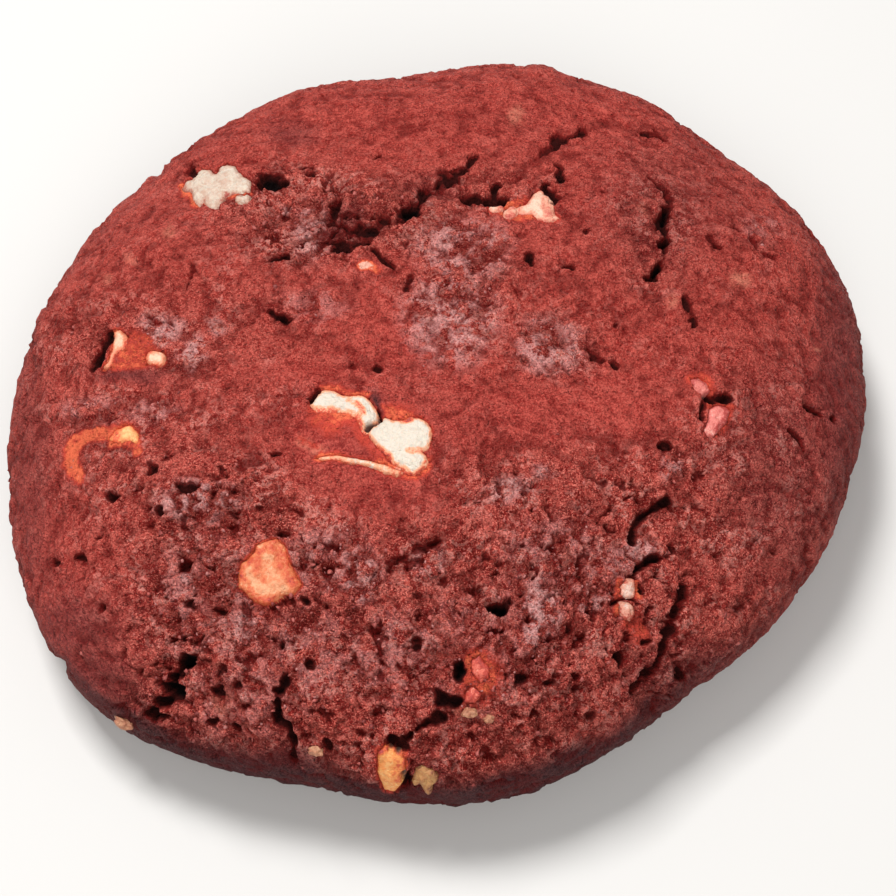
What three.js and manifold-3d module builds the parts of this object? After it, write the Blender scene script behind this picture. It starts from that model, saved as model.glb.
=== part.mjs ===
// A soft red velvet cookie: a thick, domed, slightly oval round of red dough, split by a few
// fissures, with chunks of white chocolate sunk in its top and front.
// Millimetres, +Z up. The origin is under the middle of the cookie, on the surface it lies on,
// and -Y is its front.
import * as THREE from "three";
import Module from "manifold-3d";

const wasm = await Module();
wasm.setup();

// ---- Driving dimensions ----

const MEAN_RADIUS = 39.6; // of the widest line round the side
const HEIGHT = 20; // flat base to crown
const WAIST_HEIGHT = 7; // height of the widest line
const DOME_POWER = 2.5; // 2 is a plain ellipsoid, and more is flatter on top
const BASE_SHARE = 0.9; // radius of the flat base, as a share of the widest radius
const PRESS_GAP = 0.3; // between a chunk and the pocket that it left in the dough

// Slow swellings of the round outline: how many there are round the edge, how far each one
// stands out, and the direction of the first, in degrees.
const OUTLINE_WAVES = [
  { count: 2, swell: 1.85, towards: 42 },
  { count: 3, swell: 0.37, towards: 3 },
  { count: 4, swell: 0.18, towards: 33 },
  { count: 5, swell: 0.44, towards: 1 },
  { count: 6, swell: 0.19, towards: 34 },
  { count: 7, swell: 0.36, towards: 21 },
  { count: 8, swell: 0.17, towards: 7 },
];

// Broad lumps of the baked surface: the direction in which each wave runs over it, its length
// and height, and its phase in degrees.
const LUMPS = [
  { towards: 22, length: 29, height: 0.3, phase: 40 },
  { towards: 98, length: 23, height: 0.26, phase: 200 },
  { towards: 151, length: 17, height: 0.2, phase: 95 },
  { towards: 63, length: 12, height: 0.14, phase: 310 },
];
const LUMP_LEAN = 0.35; // how far the lumps also follow height, so that they bend over the rim
const LUMP_SIDE_SHARE = 0.3; // the steep side keeps this much of a lump's height
const RIM_HEIGHT = 13; // the lumps have their full height above this

// Where the top tore as it rose, each as a line over the surface, with its width and depth.
const FISSURES = [
  {
    width: 3.2,
    depth: 0.9,
    line: [[-15.9, 12.9], [-9.4, 8.5], [-8, 7.4], [-6.1, 8.2], [-2.6, 11.6], [-0.6, 14.8], [4.2, 20.3]],
  },
  {
    width: 2.4,
    depth: 0.8,
    line: [[20.2, 17.7], [21.7, 14.7], [21.1, 10.8], [20.8, 8.6], [18.9, 5.4]],
  },
  {
    width: 2.8,
    depth: 1.2,
    line: [[21.1, -24.3], [19.9, -27.7], [17.7, -31.2], [16.6, -33.9]],
  },
];

// Chunks of white chocolate and their crumbs. `at` is the place on the cookie seen from above,
// `size` is length, breadth and thickness, `turn` is in degrees about the surface's normal, and
// `proud` is how far the chunk stands out of the dough.
const CHUNKS = [
  { name: "chunk_centre", at: [-5.3, -12], size: [11.4, 8.4, 5], turn: -14, proud: 0.7 },
  { name: "chunk_back_left", at: [-20.7, 17.8], size: [7.2, 5.4, 4], turn: 8, proud: 1 },
  { name: "chunk_left", at: [-26.4, -1.8], size: [6, 4.6, 3.6], turn: -6, proud: 0.7 },
  { name: "chunk_left_front", at: [-28.4, -11.8], size: [8, 5.8, 4], turn: 16, proud: 0.6 },
  { name: "chunk_front_left", at: [-13.6, -24.1], size: [5.4, 5.6, 4], turn: 24, proud: 1 },
  { name: "chunk_back", at: [8.6, 13.2], size: [6.8, 4, 3.4], turn: 6, proud: 0.7 },
  { name: "chunk_front", at: [-3.3, -38.7], size: [2.6, 4, 2.6], turn: 6, proud: 0.6 },
  { name: "crumb_front", at: [-0.5, -39.3], size: [2.3, 2.3, 1.8], turn: 30, proud: 0.6 },
  { name: "chunk_right_back", at: [23.6, -6.2], size: [2.4, 2.2, 1.8], turn: 0, proud: 0.5 },
  { name: "chunk_right", at: [24.7, -9.4], size: [2.7, 2.8, 2], turn: 20, proud: 0.5 },
  { name: "chunk_front_right", at: [16.3, -25.8], size: [2.3, 3.7, 2.4], turn: -10, proud: 0.5 },
  { name: "chunk_front_middle", at: [3.6, -33.3], size: [2.8, 4.5, 2.6], turn: -12, proud: 0.5 },
];
const CHUNK_BOXINESS = 2.8; // 2 is a plain ellipsoid, and more is blockier
const CHUNK_KNOBS = 0.07; // height of a chunk's knobs, as a share of its half size
const SMALL_CHUNK = 5; // a chunk shorter than this has fewer faces

// How finely the shapes are cut into faces.
const DOME_RINGS = 26; // rings of points from the crown to the waist
const SIDE_RINGS = 5; // from the waist to the edge of the base
const RING_SECTORS = 6; // the first ring round the crown has this many points, and each adds as many
const MERIDIAN_STEPS = 400; // fine steps along which the side's length is measured

const CRUST = new THREE.MeshStandardMaterial({ color: 0x8a3a38, roughness: 0.78, metalness: 0 });
const WHITE_CHOCOLATE = new THREE.MeshStandardMaterial({
  color: 0xf0e2c8,
  roughness: 0.45,
  metalness: 0,
});

const RADIANS = Math.PI / 180;

// ---- The dough's surface ----

// Radius of the widest line in one direction.
function outlineRadius(angle) {
  let radius = MEAN_RADIUS;
  for (const { count, swell, towards } of OUTLINE_WAVES)
    radius += swell * Math.cos(count * (angle - towards * RADIANS));
  return radius;
}

// The side's outline as [share of the widest radius, height], by an angle that runs from 0 at the
// crown through a right angle at the waist to a half turn at the edge of the base.
function sideOutline(angle) {
  if (angle <= Math.PI / 2)
    return [
      Math.sin(angle) ** (2 / DOME_POWER),
      WAIST_HEIGHT + (HEIGHT - WAIST_HEIGHT) * Math.cos(angle),
    ];
  const share = BASE_SHARE + (1 - BASE_SHARE) * Math.sin(angle);
  return [share, WAIST_HEIGHT * (1 + Math.cos(angle))];
}

// Angles of sideOutline, evenly spaced along the real length of the side between two of them.
function evenAngles(first, last, steps) {
  const lengths = [0];
  let before = sideOutline(first);
  for (let i = 1; i <= MERIDIAN_STEPS; i++) {
    const here = sideOutline(first + ((last - first) * i) / MERIDIAN_STEPS);
    const step = Math.hypot((here[0] - before[0]) * MEAN_RADIUS, here[1] - before[1]);
    lengths.push(lengths[i - 1] + step);
    before = here;
  }
  const whole = lengths[MERIDIAN_STEPS];
  return Array.from({ length: steps }, (_, k) => {
    const wanted = (whole * (k + 1)) / steps;
    const i = Math.max(1, lengths.findIndex((length) => length >= wanted - 1e-9));
    const part = (wanted - lengths[i - 1]) / (lengths[i] - lengths[i - 1]);
    return first + ((last - first) * (i - 1 + part)) / MERIDIAN_STEPS;
  });
}

function smoothFall(share) {
  const t = Math.min(1, Math.max(0, share));
  return 1 - t * t * (3 - 2 * t);
}

// Distance from a place seen from above to a line of points.
function distanceToLine(x, y, line) {
  let least = Infinity;
  for (let i = 1; i < line.length; i++) {
    const [ax, ay] = line[i - 1];
    const [dx, dy] = [line[i][0] - ax, line[i][1] - ay];
    const along = ((x - ax) * dx + (y - ay) * dy) / (dx * dx + dy * dy);
    const t = Math.min(1, Math.max(0, along));
    least = Math.min(least, Math.hypot(x - ax - t * dx, y - ay - t * dy));
  }
  return least;
}

// How far the surface stands out at a point of the plain dome.
function relief(point) {
  const steep = smoothFall((point.z - WAIST_HEIGHT) / (RIM_HEIGHT - WAIST_HEIGHT));
  const kept = 1 - (1 - LUMP_SIDE_SHARE) * steep;
  let rise = 0;
  for (const { towards, length, height, phase } of LUMPS) {
    const across = point.x * Math.cos(towards * RADIANS) + point.y * Math.sin(towards * RADIANS);
    const travelled = across + LUMP_LEAN * point.z;
    rise += kept * height * Math.sin((2 * Math.PI * travelled) / length + phase * RADIANS);
  }
  for (const { width, depth, line } of FISSURES)
    rise -= depth * smoothFall(distanceToLine(point.x, point.y, line) / (width / 2));
  return rise * smoothFall(1 - point.z / WAIST_HEIGHT);
}

function plainPoint(around, down) {
  const [share, height] = sideOutline(down);
  const radius = share * outlineRadius(around);
  return new THREE.Vector3(radius * Math.cos(around), radius * Math.sin(around), height);
}

// Outward normal of the plain dome, from two short steps along it.
function plainNormal(around, down) {
  const step = 0.01;
  const safeDown = Math.max(down, step);
  const east = plainPoint(around + step, safeDown).sub(plainPoint(around - step, safeDown));
  const south = plainPoint(around, safeDown + step).sub(plainPoint(around, safeDown - step));
  return south.cross(east).normalize();
}

function surfacePoint(around, down) {
  const point = plainPoint(around, down);
  return point.addScaledVector(plainNormal(around, down), relief(point));
}

// ---- The dough ----

// Rings of points round the crown, each RING_SECTORS longer than the one before, then rings down
// the side, and one point under the middle.
function doughSolid() {
  const points = [surfacePoint(0, 0)];
  const rings = [[0]];
  const addRing = (count, down) => {
    const ring = [];
    for (let i = 0; i < count; i++) {
      ring.push(points.length);
      points.push(surfacePoint((2 * Math.PI * i) / count, down));
    }
    rings.push(ring);
  };
  evenAngles(0, Math.PI / 2, DOME_RINGS).forEach((down, k) => addRing(RING_SECTORS * (k + 1), down));
  for (const down of evenAngles(Math.PI / 2, Math.PI, SIDE_RINGS))
    addRing(RING_SECTORS * DOME_RINGS, down);
  for (const index of rings.at(-1)) points[index].z = 0;
  rings.push([points.length]);
  points.push(new THREE.Vector3(0, 0, 0));

  const triangles = [];
  for (let k = 1; k < rings.length; k++) joinRings(rings[k - 1], rings[k], triangles);
  return solidFrom(points, triangles);
}

// Triangles between two rings of points that start in the same direction: each step goes on along
// the ring whose next point comes first.
function joinRings(inner, outer, triangles) {
  const innerSteps = inner.length > 1 ? inner.length : 0;
  const outerSteps = outer.length > 1 ? outer.length : 0;
  let i = 0;
  let o = 0;
  while (i < innerSteps || o < outerSteps) {
    const a = inner[i % inner.length];
    const b = outer[o % outer.length];
    const outerNext = (o + 1) * innerSteps <= (i + 1) * outerSteps;
    if (o < outerSteps && (i >= innerSteps || outerNext)) {
      triangles.push(a, b, outer[(o + 1) % outer.length]);
      o++;
    } else {
      triangles.push(a, b, inner[(i + 1) % inner.length]);
      i++;
    }
  }
}

// ---- Chunks ----

// Height above the base at a place seen from above, with the surface's normal there.
function onDome([x, y]) {
  const around = Math.atan2(y, x);
  const share = Math.hypot(x, y) / outlineRadius(around);
  const down = Math.asin(Math.min(1, share ** (DOME_POWER / 2)));
  return { point: surfacePoint(around, down), normal: plainNormal(around, down) };
}

// A blocky lump about the origin, knobbly in its own way, and grown outwards by `grow`.
function chunkGeometry({ size }, number, grow) {
  const [halfX, halfY, halfZ] = size.map((whole) => whole / 2 + grow);
  const detail = size[0] < SMALL_CHUNK && size[1] < SMALL_CHUNK ? 1 : 2;
  const ball = new THREE.IcosahedronGeometry(1, detail);
  const place = ball.getAttribute("position");
  const way = new THREE.Vector3();
  for (let i = 0; i < place.count; i++) {
    way.fromBufferAttribute(place, i).normalize();
    const [x, y, z] = way.toArray().map((share) => Math.abs(share) ** CHUNK_BOXINESS);
    const boxy = (x + y + z) ** (-1 / CHUNK_BOXINESS);
    const knobs =
      Math.sin(5 * way.x + 3 * number) * Math.sin(4 * way.y - 2 * number) +
      0.6 * Math.sin(7 * way.y + 3 * way.z + number);
    way.multiplyScalar(boxy * (1 + CHUNK_KNOBS * knobs));
    place.setXYZ(i, way.x * halfX, way.y * halfY, way.z * halfZ);
  }
  return ball;
}

// The chunk's solid in the cookie's frame, lying along the surface and sunk into it.
function chunkSolid(chunk, number, grow = 0) {
  const { point, normal } = onDome(chunk.at);
  const upright = new THREE.Vector3(0, 0, 1);
  const lean = new THREE.Quaternion().setFromUnitVectors(upright, normal);
  const turn = new THREE.Quaternion().setFromAxisAngle(upright, chunk.turn * RADIANS);
  const middle = point.addScaledVector(normal, chunk.proud - chunk.size[2] / 2);
  const placing = new THREE.Matrix4().compose(
    middle,
    lean.multiply(turn),
    new THREE.Vector3(1, 1, 1),
  );
  const geometry = chunkGeometry(chunk, number, grow).applyMatrix4(placing);
  return solidFrom(...sharedCorners(geometry));
}

// ---- Solids and meshes ----

// A geometry of loose triangles as points that are each there once, and triangles between them.
function sharedCorners(geometry) {
  const place = geometry.getAttribute("position");
  const numbers = new Map();
  const points = [];
  const triangles = [];
  for (let i = 0; i < place.count; i++) {
    const point = new THREE.Vector3().fromBufferAttribute(place, i);
    const key = point.toArray().map((value) => value.toFixed(3)).join();
    if (!numbers.has(key)) {
      numbers.set(key, points.length);
      points.push(point);
    }
    triangles.push(numbers.get(key));
  }
  return [points, triangles];
}

function solidFrom(points, triangles) {
  return new wasm.Manifold(
    new wasm.Mesh({
      numProp: 3,
      vertProperties: Float32Array.from(points.flatMap((point) => point.toArray())),
      triVerts: Uint32Array.from(triangles),
    }),
  );
}

function namedMesh(name, solid, material) {
  const { vertProperties, triVerts } = solid.getMesh();
  const geometry = new THREE.BufferGeometry();
  geometry.setAttribute("position", new THREE.BufferAttribute(vertProperties, 3));
  geometry.setIndex(new THREE.BufferAttribute(triVerts, 1));
  geometry.computeVertexNormals();
  const mesh = new THREE.Mesh(geometry, material);
  mesh.name = name;
  return mesh;
}

// ---- The cookie ----

let dough = doughSolid();
CHUNKS.forEach((chunk, number) => {
  dough = dough.subtract(chunkSolid(chunk, number, PRESS_GAP));
});

const cookie = new THREE.Group();
cookie.add(namedMesh("dough", dough, CRUST));
CHUNKS.forEach((chunk, number) => {
  cookie.add(namedMesh(chunk.name, chunkSolid(chunk, number), WHITE_CHOCOLATE));
});

// The outline's swellings leave the middle of its box a little off the axis, so the meshes shift
// until the origin is under the middle.
const box = new THREE.Box3().setFromObject(cookie);
const middle = box.getCenter(new THREE.Vector3());
for (const mesh of cookie.children) mesh.position.set(-middle.x, -middle.y, 0);

export default cookie;
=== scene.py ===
# %% [markdown]
# # A red velvet cookie
#
# The object is one thick, soft-baked cookie of red dough. Its top has torn a little in the oven,
# its front is crumbly and full of pores, and chunks of white chocolate show through the skin.
# The CAD model gives the round, domed solid and a solid for each chunk. This lesson gives them
# their looks: a fine skin of dough, the chunks, loose crumbs and grains of sugar.
#
# Lengths in the text are in millimetres. Blender works in metres, so they are multiplied by MM.

# %% Load the CAD model
import math

import bmesh
import bpy
import numpy as np
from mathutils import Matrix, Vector, noise
from mathutils.bvhtree import BVHTree


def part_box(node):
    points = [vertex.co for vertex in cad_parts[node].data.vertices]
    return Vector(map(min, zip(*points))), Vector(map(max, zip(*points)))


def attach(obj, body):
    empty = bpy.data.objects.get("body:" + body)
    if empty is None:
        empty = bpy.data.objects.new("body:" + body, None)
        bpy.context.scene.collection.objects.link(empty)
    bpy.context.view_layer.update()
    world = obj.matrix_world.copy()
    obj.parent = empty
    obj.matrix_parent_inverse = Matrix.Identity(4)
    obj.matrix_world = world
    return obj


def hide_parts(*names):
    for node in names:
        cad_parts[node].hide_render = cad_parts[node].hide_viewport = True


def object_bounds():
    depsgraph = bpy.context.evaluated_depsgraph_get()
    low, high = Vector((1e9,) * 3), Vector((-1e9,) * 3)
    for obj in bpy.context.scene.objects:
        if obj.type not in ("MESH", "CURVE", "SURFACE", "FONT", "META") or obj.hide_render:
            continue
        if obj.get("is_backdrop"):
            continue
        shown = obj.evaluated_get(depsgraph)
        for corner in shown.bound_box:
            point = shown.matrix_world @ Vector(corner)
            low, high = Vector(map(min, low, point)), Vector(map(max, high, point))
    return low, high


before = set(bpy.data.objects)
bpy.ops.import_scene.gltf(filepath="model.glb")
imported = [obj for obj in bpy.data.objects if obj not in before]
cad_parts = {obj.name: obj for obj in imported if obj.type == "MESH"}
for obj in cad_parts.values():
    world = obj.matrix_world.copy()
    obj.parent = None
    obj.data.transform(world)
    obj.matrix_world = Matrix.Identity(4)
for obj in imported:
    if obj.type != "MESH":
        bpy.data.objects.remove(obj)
cad_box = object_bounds()
MM = 0.001
print("CAD box in mm:", [[round(v / MM, 2) for v in corner] for corner in cad_box])

# %% [markdown]
# ## The camera
#
# The camera comes first, because the marks on this cookie are noted as places in the photograph.
# The cookie lies flat, and its outline fits a view from 57 degrees above the horizon through an
# 85 mm lens. `photo_place` is the camera's own arithmetic: it says where a point of the object
# stands in the picture, in pixels from the top left corner. A mark noted in pixels can then be
# found again on the surface itself, and stays there from whichever side it is seen.

# %% Camera and the photograph's frame
PHOTO_SIDE = 896
LENS, SENSOR = 85.0, 36.0
ELEVATION = math.radians(57)
CAMERA_DISTANCE = 193.4 * MM
CAMERA_TARGET = np.array([0.62, -5.83, 8.0]) * MM

camera_back = np.array([0.0, -math.cos(ELEVATION), math.sin(ELEVATION)])
camera_up = np.array([0.0, math.sin(ELEVATION), math.cos(ELEVATION)])
camera_right = np.array([1.0, 0.0, 0.0])
camera_eye = CAMERA_TARGET + CAMERA_DISTANCE * camera_back

camera = bpy.data.objects.new("camera", bpy.data.cameras.new("camera"))
camera.data.lens, camera.data.sensor_width = LENS, SENSOR
camera.data.clip_start = 0.01
camera.location = camera_eye
camera.rotation_euler = Vector(camera_back).to_track_quat("Z", "Y").to_euler()
bpy.context.scene.collection.objects.link(camera)
bpy.context.scene.camera = camera


def photo_place(points):
    """Where points of the object stand in the photograph, in pixels."""
    from_eye = points - camera_eye
    scale = LENS / SENSOR * PHOTO_SIDE / -(from_eye @ camera_back)
    across = PHOTO_SIDE / 2 + scale * (from_eye @ camera_right)
    down = PHOTO_SIDE / 2 - scale * (from_eye @ camera_up)
    return np.stack([across, down], axis=1)


PIXEL = CAMERA_DISTANCE / (LENS / SENSOR * PHOTO_SIDE)
print("one pixel is about", round(PIXEL / MM, 3), "mm on the cookie")

# %% [markdown]
# ## A helper for node trees
#
# Both Geometry Nodes and materials are node trees. This small class adds a node, fills its
# inputs with numbers or with other nodes' outputs, and hands back the output that goes on. It
# keeps each tree below readable from top to bottom. Its later methods stand for the few groups
# of nodes that every tree here needs: a product, a place that is pushed to and fro, and a coat
# of colour that appears as some value rises or falls.


# %% Node helper
class Nodes:
    """A node tree that is built one node at a time."""

    def __init__(self, tree):
        self.tree = tree

    def add(self, kind, inputs=(), out=0, **settings):
        node = self.tree.nodes.new(kind)
        for name, value in settings.items():
            setattr(node, name, value)
        pairs = inputs.items() if isinstance(inputs, dict) else enumerate(inputs)
        for socket, value in pairs:
            if isinstance(value, bpy.types.NodeSocket):
                self.tree.links.new(value, node.inputs[socket])
            elif value is not None:
                node.inputs[socket].default_value = value
        return node.outputs[out]

    def maths(self, operation, a, b=None, c=None):
        return self.add("ShaderNodeMath", [a, b, c], operation=operation)

    def product(self, first, *others):
        for other in others:
            first = self.maths("MULTIPLY", first, other)
        return first

    def vector(self, operation, a, b=None, scale=None):
        inputs = {0: a, 1: b, 3: scale}
        return self.add("ShaderNodeVectorMath", inputs, operation=operation)

    def split(self, place):
        """The x, y and z of a place."""
        node = self.tree.nodes.new("ShaderNodeSeparateXYZ")
        self.tree.links.new(place, node.inputs[0])
        return node.outputs

    def mix(self, factor, a, b):
        return self.add("ShaderNodeMix", {0: factor, 2: a, 3: b})

    def tint(self, factor, a, b):
        inputs = {0: factor, 6: a, 7: b}
        return self.add("ShaderNodeMix", inputs, out=2, data_type="RGBA")

    def ease(self, value, low, high, from_value=0.0, to_value=1.0):
        inputs = [value, low, high, from_value, to_value]
        return self.add("ShaderNodeMapRange", inputs, interpolation_type="SMOOTHSTEP")

    def noise(self, place, scale, detail=2.0, roughness=0.5, out=0):
        inputs = {"Vector": place, "Scale": scale, "Detail": detail, "Roughness": roughness}
        return self.add("ShaderNodeTexNoise", inputs, out=out)

    def cells(self, place, scale, feature="F1", out=0):
        """Distance to the middle of the nearest cell (out=0), or a tone of its own (out=1)."""
        inputs = {"Vector": place, "Scale": scale}
        return self.add("ShaderNodeTexVoronoi", inputs, out=out, feature=feature)

    def push(self, place, scale, detail):
        """A shift to and fro that changes from place to place."""
        return self.vector("SUBTRACT", self.noise(place, scale, detail, out=1), (0.5, 0.5, 0.5))

    def bend(self, place, scale, detail, reach):
        """Places pushed to and fro, so that what is read there isn't regular."""
        push = self.push(place, scale, detail)
        return self.vector("ADD", place, self.vector("SCALE", push, scale=reach))

    def coat(self, colour, over, value, low, high, most=1.0, where=None):
        """Lays a colour over another as a value goes from low to high."""
        share = self.ease(value, low, high, 0.0, most)
        if where is not None:
            share = self.product(share, where)
        return self.tint(share, colour, over)


def geometry_tree(name, sizes):
    """A Geometry Nodes tree with named inputs, its builder and what comes in."""
    tree = bpy.data.node_groups.new(name, "GeometryNodeTree")
    face = tree.interface
    face.new_socket(name="Geometry", in_out="INPUT", socket_type="NodeSocketGeometry")
    for label, value in sizes.items():
        kind = "NodeSocketInt" if isinstance(value, int) else "NodeSocketFloat"
        face.new_socket(name=label, in_out="INPUT", socket_type=kind)
    face.new_socket(name="Geometry", in_out="OUTPUT", socket_type="NodeSocketGeometry")
    return tree, Nodes(tree), tree.nodes.new("NodeGroupInput").outputs


def attribute(n, name, kind="FLOAT"):
    return n.add("GeometryNodeInputNamedAttribute", [name], data_type=kind)


def end_tree(n, geometry):
    output = n.tree.nodes.new("NodeGroupOutput")
    n.tree.links.new(geometry, output.inputs[0])


def run_tree(piece, tree, sizes):
    """Runs a tree on a piece with its named inputs set, and leaves a plain mesh behind."""
    modifier = piece.modifiers.new(tree.name, "NODES")
    modifier.node_group = tree
    for socket in tree.interface.items_tree:
        if socket.in_out == "INPUT" and socket.name in sizes:
            modifier[socket.identifier] = sizes[socket.name]
    graph = bpy.context.evaluated_depsgraph_get()
    mesh = bpy.data.meshes.new_from_object(
        piece.evaluated_get(graph), preserve_all_data_layers=True, depsgraph=graph
    )
    piece.modifiers.remove(modifier)
    before, piece.data = piece.data, mesh
    bpy.data.meshes.remove(before)
    return mesh


# %% [markdown]
# ## A web of rings
#
# The dough and the chunks are both round lumps. A grid of latitudes and longitudes would crowd
# its faces at the crown, so both start as a web: rings of points round a middle, where each ring
# has a few points more than the one inside it, so that all the triangles are about as large.
# A web is only numbers at first: for each point the direction `around` the middle and how far
# `down` the side it lies. What that means in millimetres is the rule of each piece.


# %% Web of rings
def join_rings(inner, outer):
    """Triangles between two rings that start in the same direction."""
    triangles, i, o = [], 0, 0
    inner_steps = len(inner) if len(inner) > 1 else 0
    outer_steps = len(outer) if len(outer) > 1 else 0
    while i < inner_steps or o < outer_steps:
        a, b = inner[i % len(inner)], outer[o % len(outer)]
        outer_next = (o + 1) * inner_steps <= (i + 1) * outer_steps
        if o < outer_steps and (i >= inner_steps or outer_next):
            triangles.append((a, b, outer[(o + 1) % len(outer)]))
            o += 1
        else:
            triangles.append((a, b, inner[(i + 1) % len(inner)]))
            i += 1
    return triangles


def ring_web(rings):
    """Direction and ring number of every point, and the triangles, for (count of points) rings."""
    around, number, triangles, last = [], [], [], None
    for k, count in enumerate(rings):
        ring = list(range(len(around), len(around) + count))
        around.extend(2 * math.pi * i / count for i in range(count))
        number.extend([k] * count)
        if last:
            triangles.extend(join_rings(last, ring))
        last = ring
    return np.array(around), np.array(number), triangles


# %% [markdown]
# ## The dough's plain form
#
# Underneath its crumb, the cookie follows a rule: a dome, flatter on top than a ball, on a round
# outline with a few slow swellings, and a side that turns in to a flat base. The CAD solid was
# made by the same rule with far fewer faces. Here it is a Geometry Nodes tree, because a shape
# that follows a rule is easiest to change as a tree with named sizes. The web's points come in,
# and the tree puts each one in its place and then lifts it along its normal by the broad lumps
# of the baked surface.

# %% Sizes of the dome, as in the CAD model
DOME = {
    "Mean radius": 39.6,
    "Height": 20.0,
    "Waist height": 7.0,
    "Dome power": 2.5,
    "Base share": 0.9,
}
# slow swellings of the outline: how many round the cookie, mm, towards which degree
OUTLINE_WAVES = [
    (2, 1.85, 42), (3, 0.37, 3), (4, 0.18, 33), (5, 0.44, 1), (6, 0.19, 34), (7, 0.36, 21),
    (8, 0.17, 7),
]
# broad lumps of the top: direction in degrees, length and height in mm, start in degrees
LUMPS = [(22, 29, 0.3, 40), (98, 23, 0.26, 200), (151, 17, 0.2, 95), (63, 12, 0.14, 310)]
LUMP_LEAN = 0.35
LUMP_SIDE_SHARE = 0.3
RIM_HEIGHT = 13.0

DOME_RINGS = 106
SIDE_RINGS = 14
BASE_RINGS = 36
RING_SECTORS = 6
OUTLINE_SAMPLES = 4000


def side_outline(down):
    """Share of the widest radius and height, from the crown (0) to the edge of the base (pi)."""
    waist, top = DOME["Waist height"], DOME["Height"]
    upper = np.sin(np.minimum(down, math.pi / 2)) ** (2 / DOME["Dome power"])
    lower = DOME["Base share"] + (1 - DOME["Base share"]) * np.sin(np.maximum(down, math.pi / 2))
    share = np.where(down <= math.pi / 2, upper, lower)
    height = waist + np.where(down <= math.pi / 2, top - waist, waist) * np.cos(down)
    return share, height


def even_downs(first, last, steps):
    """Places down the side, evenly spaced along its real length."""
    fine = np.linspace(first, last, OUTLINE_SAMPLES)
    share, height = side_outline(fine)
    step = np.hypot(np.diff(share) * DOME["Mean radius"], np.diff(height))
    length = np.concatenate([[0], np.cumsum(step)])
    return np.interp(np.linspace(0, length[-1], steps + 1)[1:], length, fine)


rings = [1] + [RING_SECTORS * k for k in range(1, DOME_RINGS + 1)]
rings += [RING_SECTORS * DOME_RINGS] * SIDE_RINGS
rings += [RING_SECTORS * DOME_RINGS * (BASE_RINGS - k) // BASE_RINGS for k in range(1, BASE_RINGS)]
rings += [1]
around, ring_number, triangles = ring_web(rings)
downs = np.concatenate([
    [0],
    even_downs(0, math.pi / 2, DOME_RINGS),
    even_downs(math.pi / 2, math.pi, SIDE_RINGS),
    np.full(BASE_RINGS, math.pi),
])
reach = np.concatenate([
    np.ones(1 + DOME_RINGS + SIDE_RINGS),
    1 - np.arange(1, BASE_RINGS + 1) / BASE_RINGS,
])
print("web:", len(around), "points and", len(triangles), "triangles")


# %% Tree of the dome
def dome_tree():
    tree, n, size = geometry_tree("dome", DOME)
    around, down, reach = (attribute(n, name) for name in ("around", "down", "reach"))
    radius = size["Mean radius"]
    for count, swell, towards in OUTLINE_WAVES:
        turned = n.maths("SUBTRACT", around, math.radians(towards))
        wave = n.maths("COSINE", n.product(turned, float(count)))
        radius = n.maths("MULTIPLY_ADD", wave, swell, radius)
    sine, cosine = n.maths("SINE", down), n.maths("COSINE", down)
    waist, base = size["Waist height"], size["Base share"]
    upper_share = n.maths("POWER", sine, n.maths("DIVIDE", 2.0, size["Dome power"]))
    lower_share = n.maths("MULTIPLY_ADD", sine, n.maths("SUBTRACT", 1.0, base), base)
    upper_rise = n.maths("SUBTRACT", size["Height"], waist)
    below = n.maths("GREATER_THAN", down, math.pi / 2 + 1e-6)
    share = n.product(n.mix(below, upper_share, lower_share), reach)
    height = n.maths("MULTIPLY_ADD", n.mix(below, upper_rise, waist), cosine, waist)
    x = n.product(radius, share, n.maths("COSINE", around))
    y = n.product(radius, share, n.maths("SINE", around))
    place = n.add("ShaderNodeCombineXYZ", [x, y, height])
    plain = n.add("GeometryNodeSetPosition", [size["Geometry"], None, place])

    x, y, z = n.split(n.add("GeometryNodeInputPosition"))
    kept = n.ease(z, waist, RIM_HEIGHT, LUMP_SIDE_SHARE, 1.0)
    rise = None
    for towards, length, lump, phase in LUMPS:
        turn = math.radians(towards)
        across = n.maths("MULTIPLY_ADD", x, math.cos(turn), n.product(y, math.sin(turn)))
        travelled = n.maths("MULTIPLY_ADD", z, LUMP_LEAN, across)
        angle = n.maths("MULTIPLY_ADD", travelled, 2 * math.pi / length, math.radians(phase))
        wave = n.product(n.maths("SINE", angle), lump)
        rise = wave if rise is None else n.maths("ADD", rise, wave)
    rise = n.product(rise, n.product(kept, n.ease(z, 0.0, waist)))
    lift = n.vector("SCALE", n.add("GeometryNodeInputNormal"), scale=rise)
    lumpy = n.add("GeometryNodeSetPosition", [plain, None, None, lift])
    shrink = n.vector("SCALE", n.add("GeometryNodeInputPosition"), scale=MM)
    end_tree(n, n.add("GeometryNodeSetPosition", [lumpy, None, shrink]))
    return tree


def points_of(mesh):
    flat = np.empty(len(mesh.vertices) * 3, np.float32)
    mesh.vertices.foreach_get("co", flat)
    return flat.reshape(-1, 3).astype(float)


def normals_of(mesh):
    flat = np.empty(len(mesh.vertices) * 3, np.float32)
    mesh.vertex_normals.foreach_get("vector", flat)
    return flat.reshape(-1, 3).astype(float)


def place_points(mesh, points):
    mesh.vertices.foreach_set("co", points.astype(np.float32).ravel())
    mesh.update()


def keep_values(mesh, name, values):
    """Writes one number, or one vector, for each point of a mesh."""
    kind, field = ("FLOAT", "value") if values.ndim == 1 else ("FLOAT_VECTOR", "vector")
    layer = mesh.attributes.get(name) or mesh.attributes.new(name, kind, "POINT")
    layer.data.foreach_set(field, values.astype(np.float32).ravel())


def new_piece(name, points, triangles):
    mesh = bpy.data.meshes.new(name)
    mesh.from_pydata(points.tolist(), [], triangles)
    piece = bpy.data.objects.new(name, mesh)
    bpy.context.scene.collection.objects.link(piece)
    return piece


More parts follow.
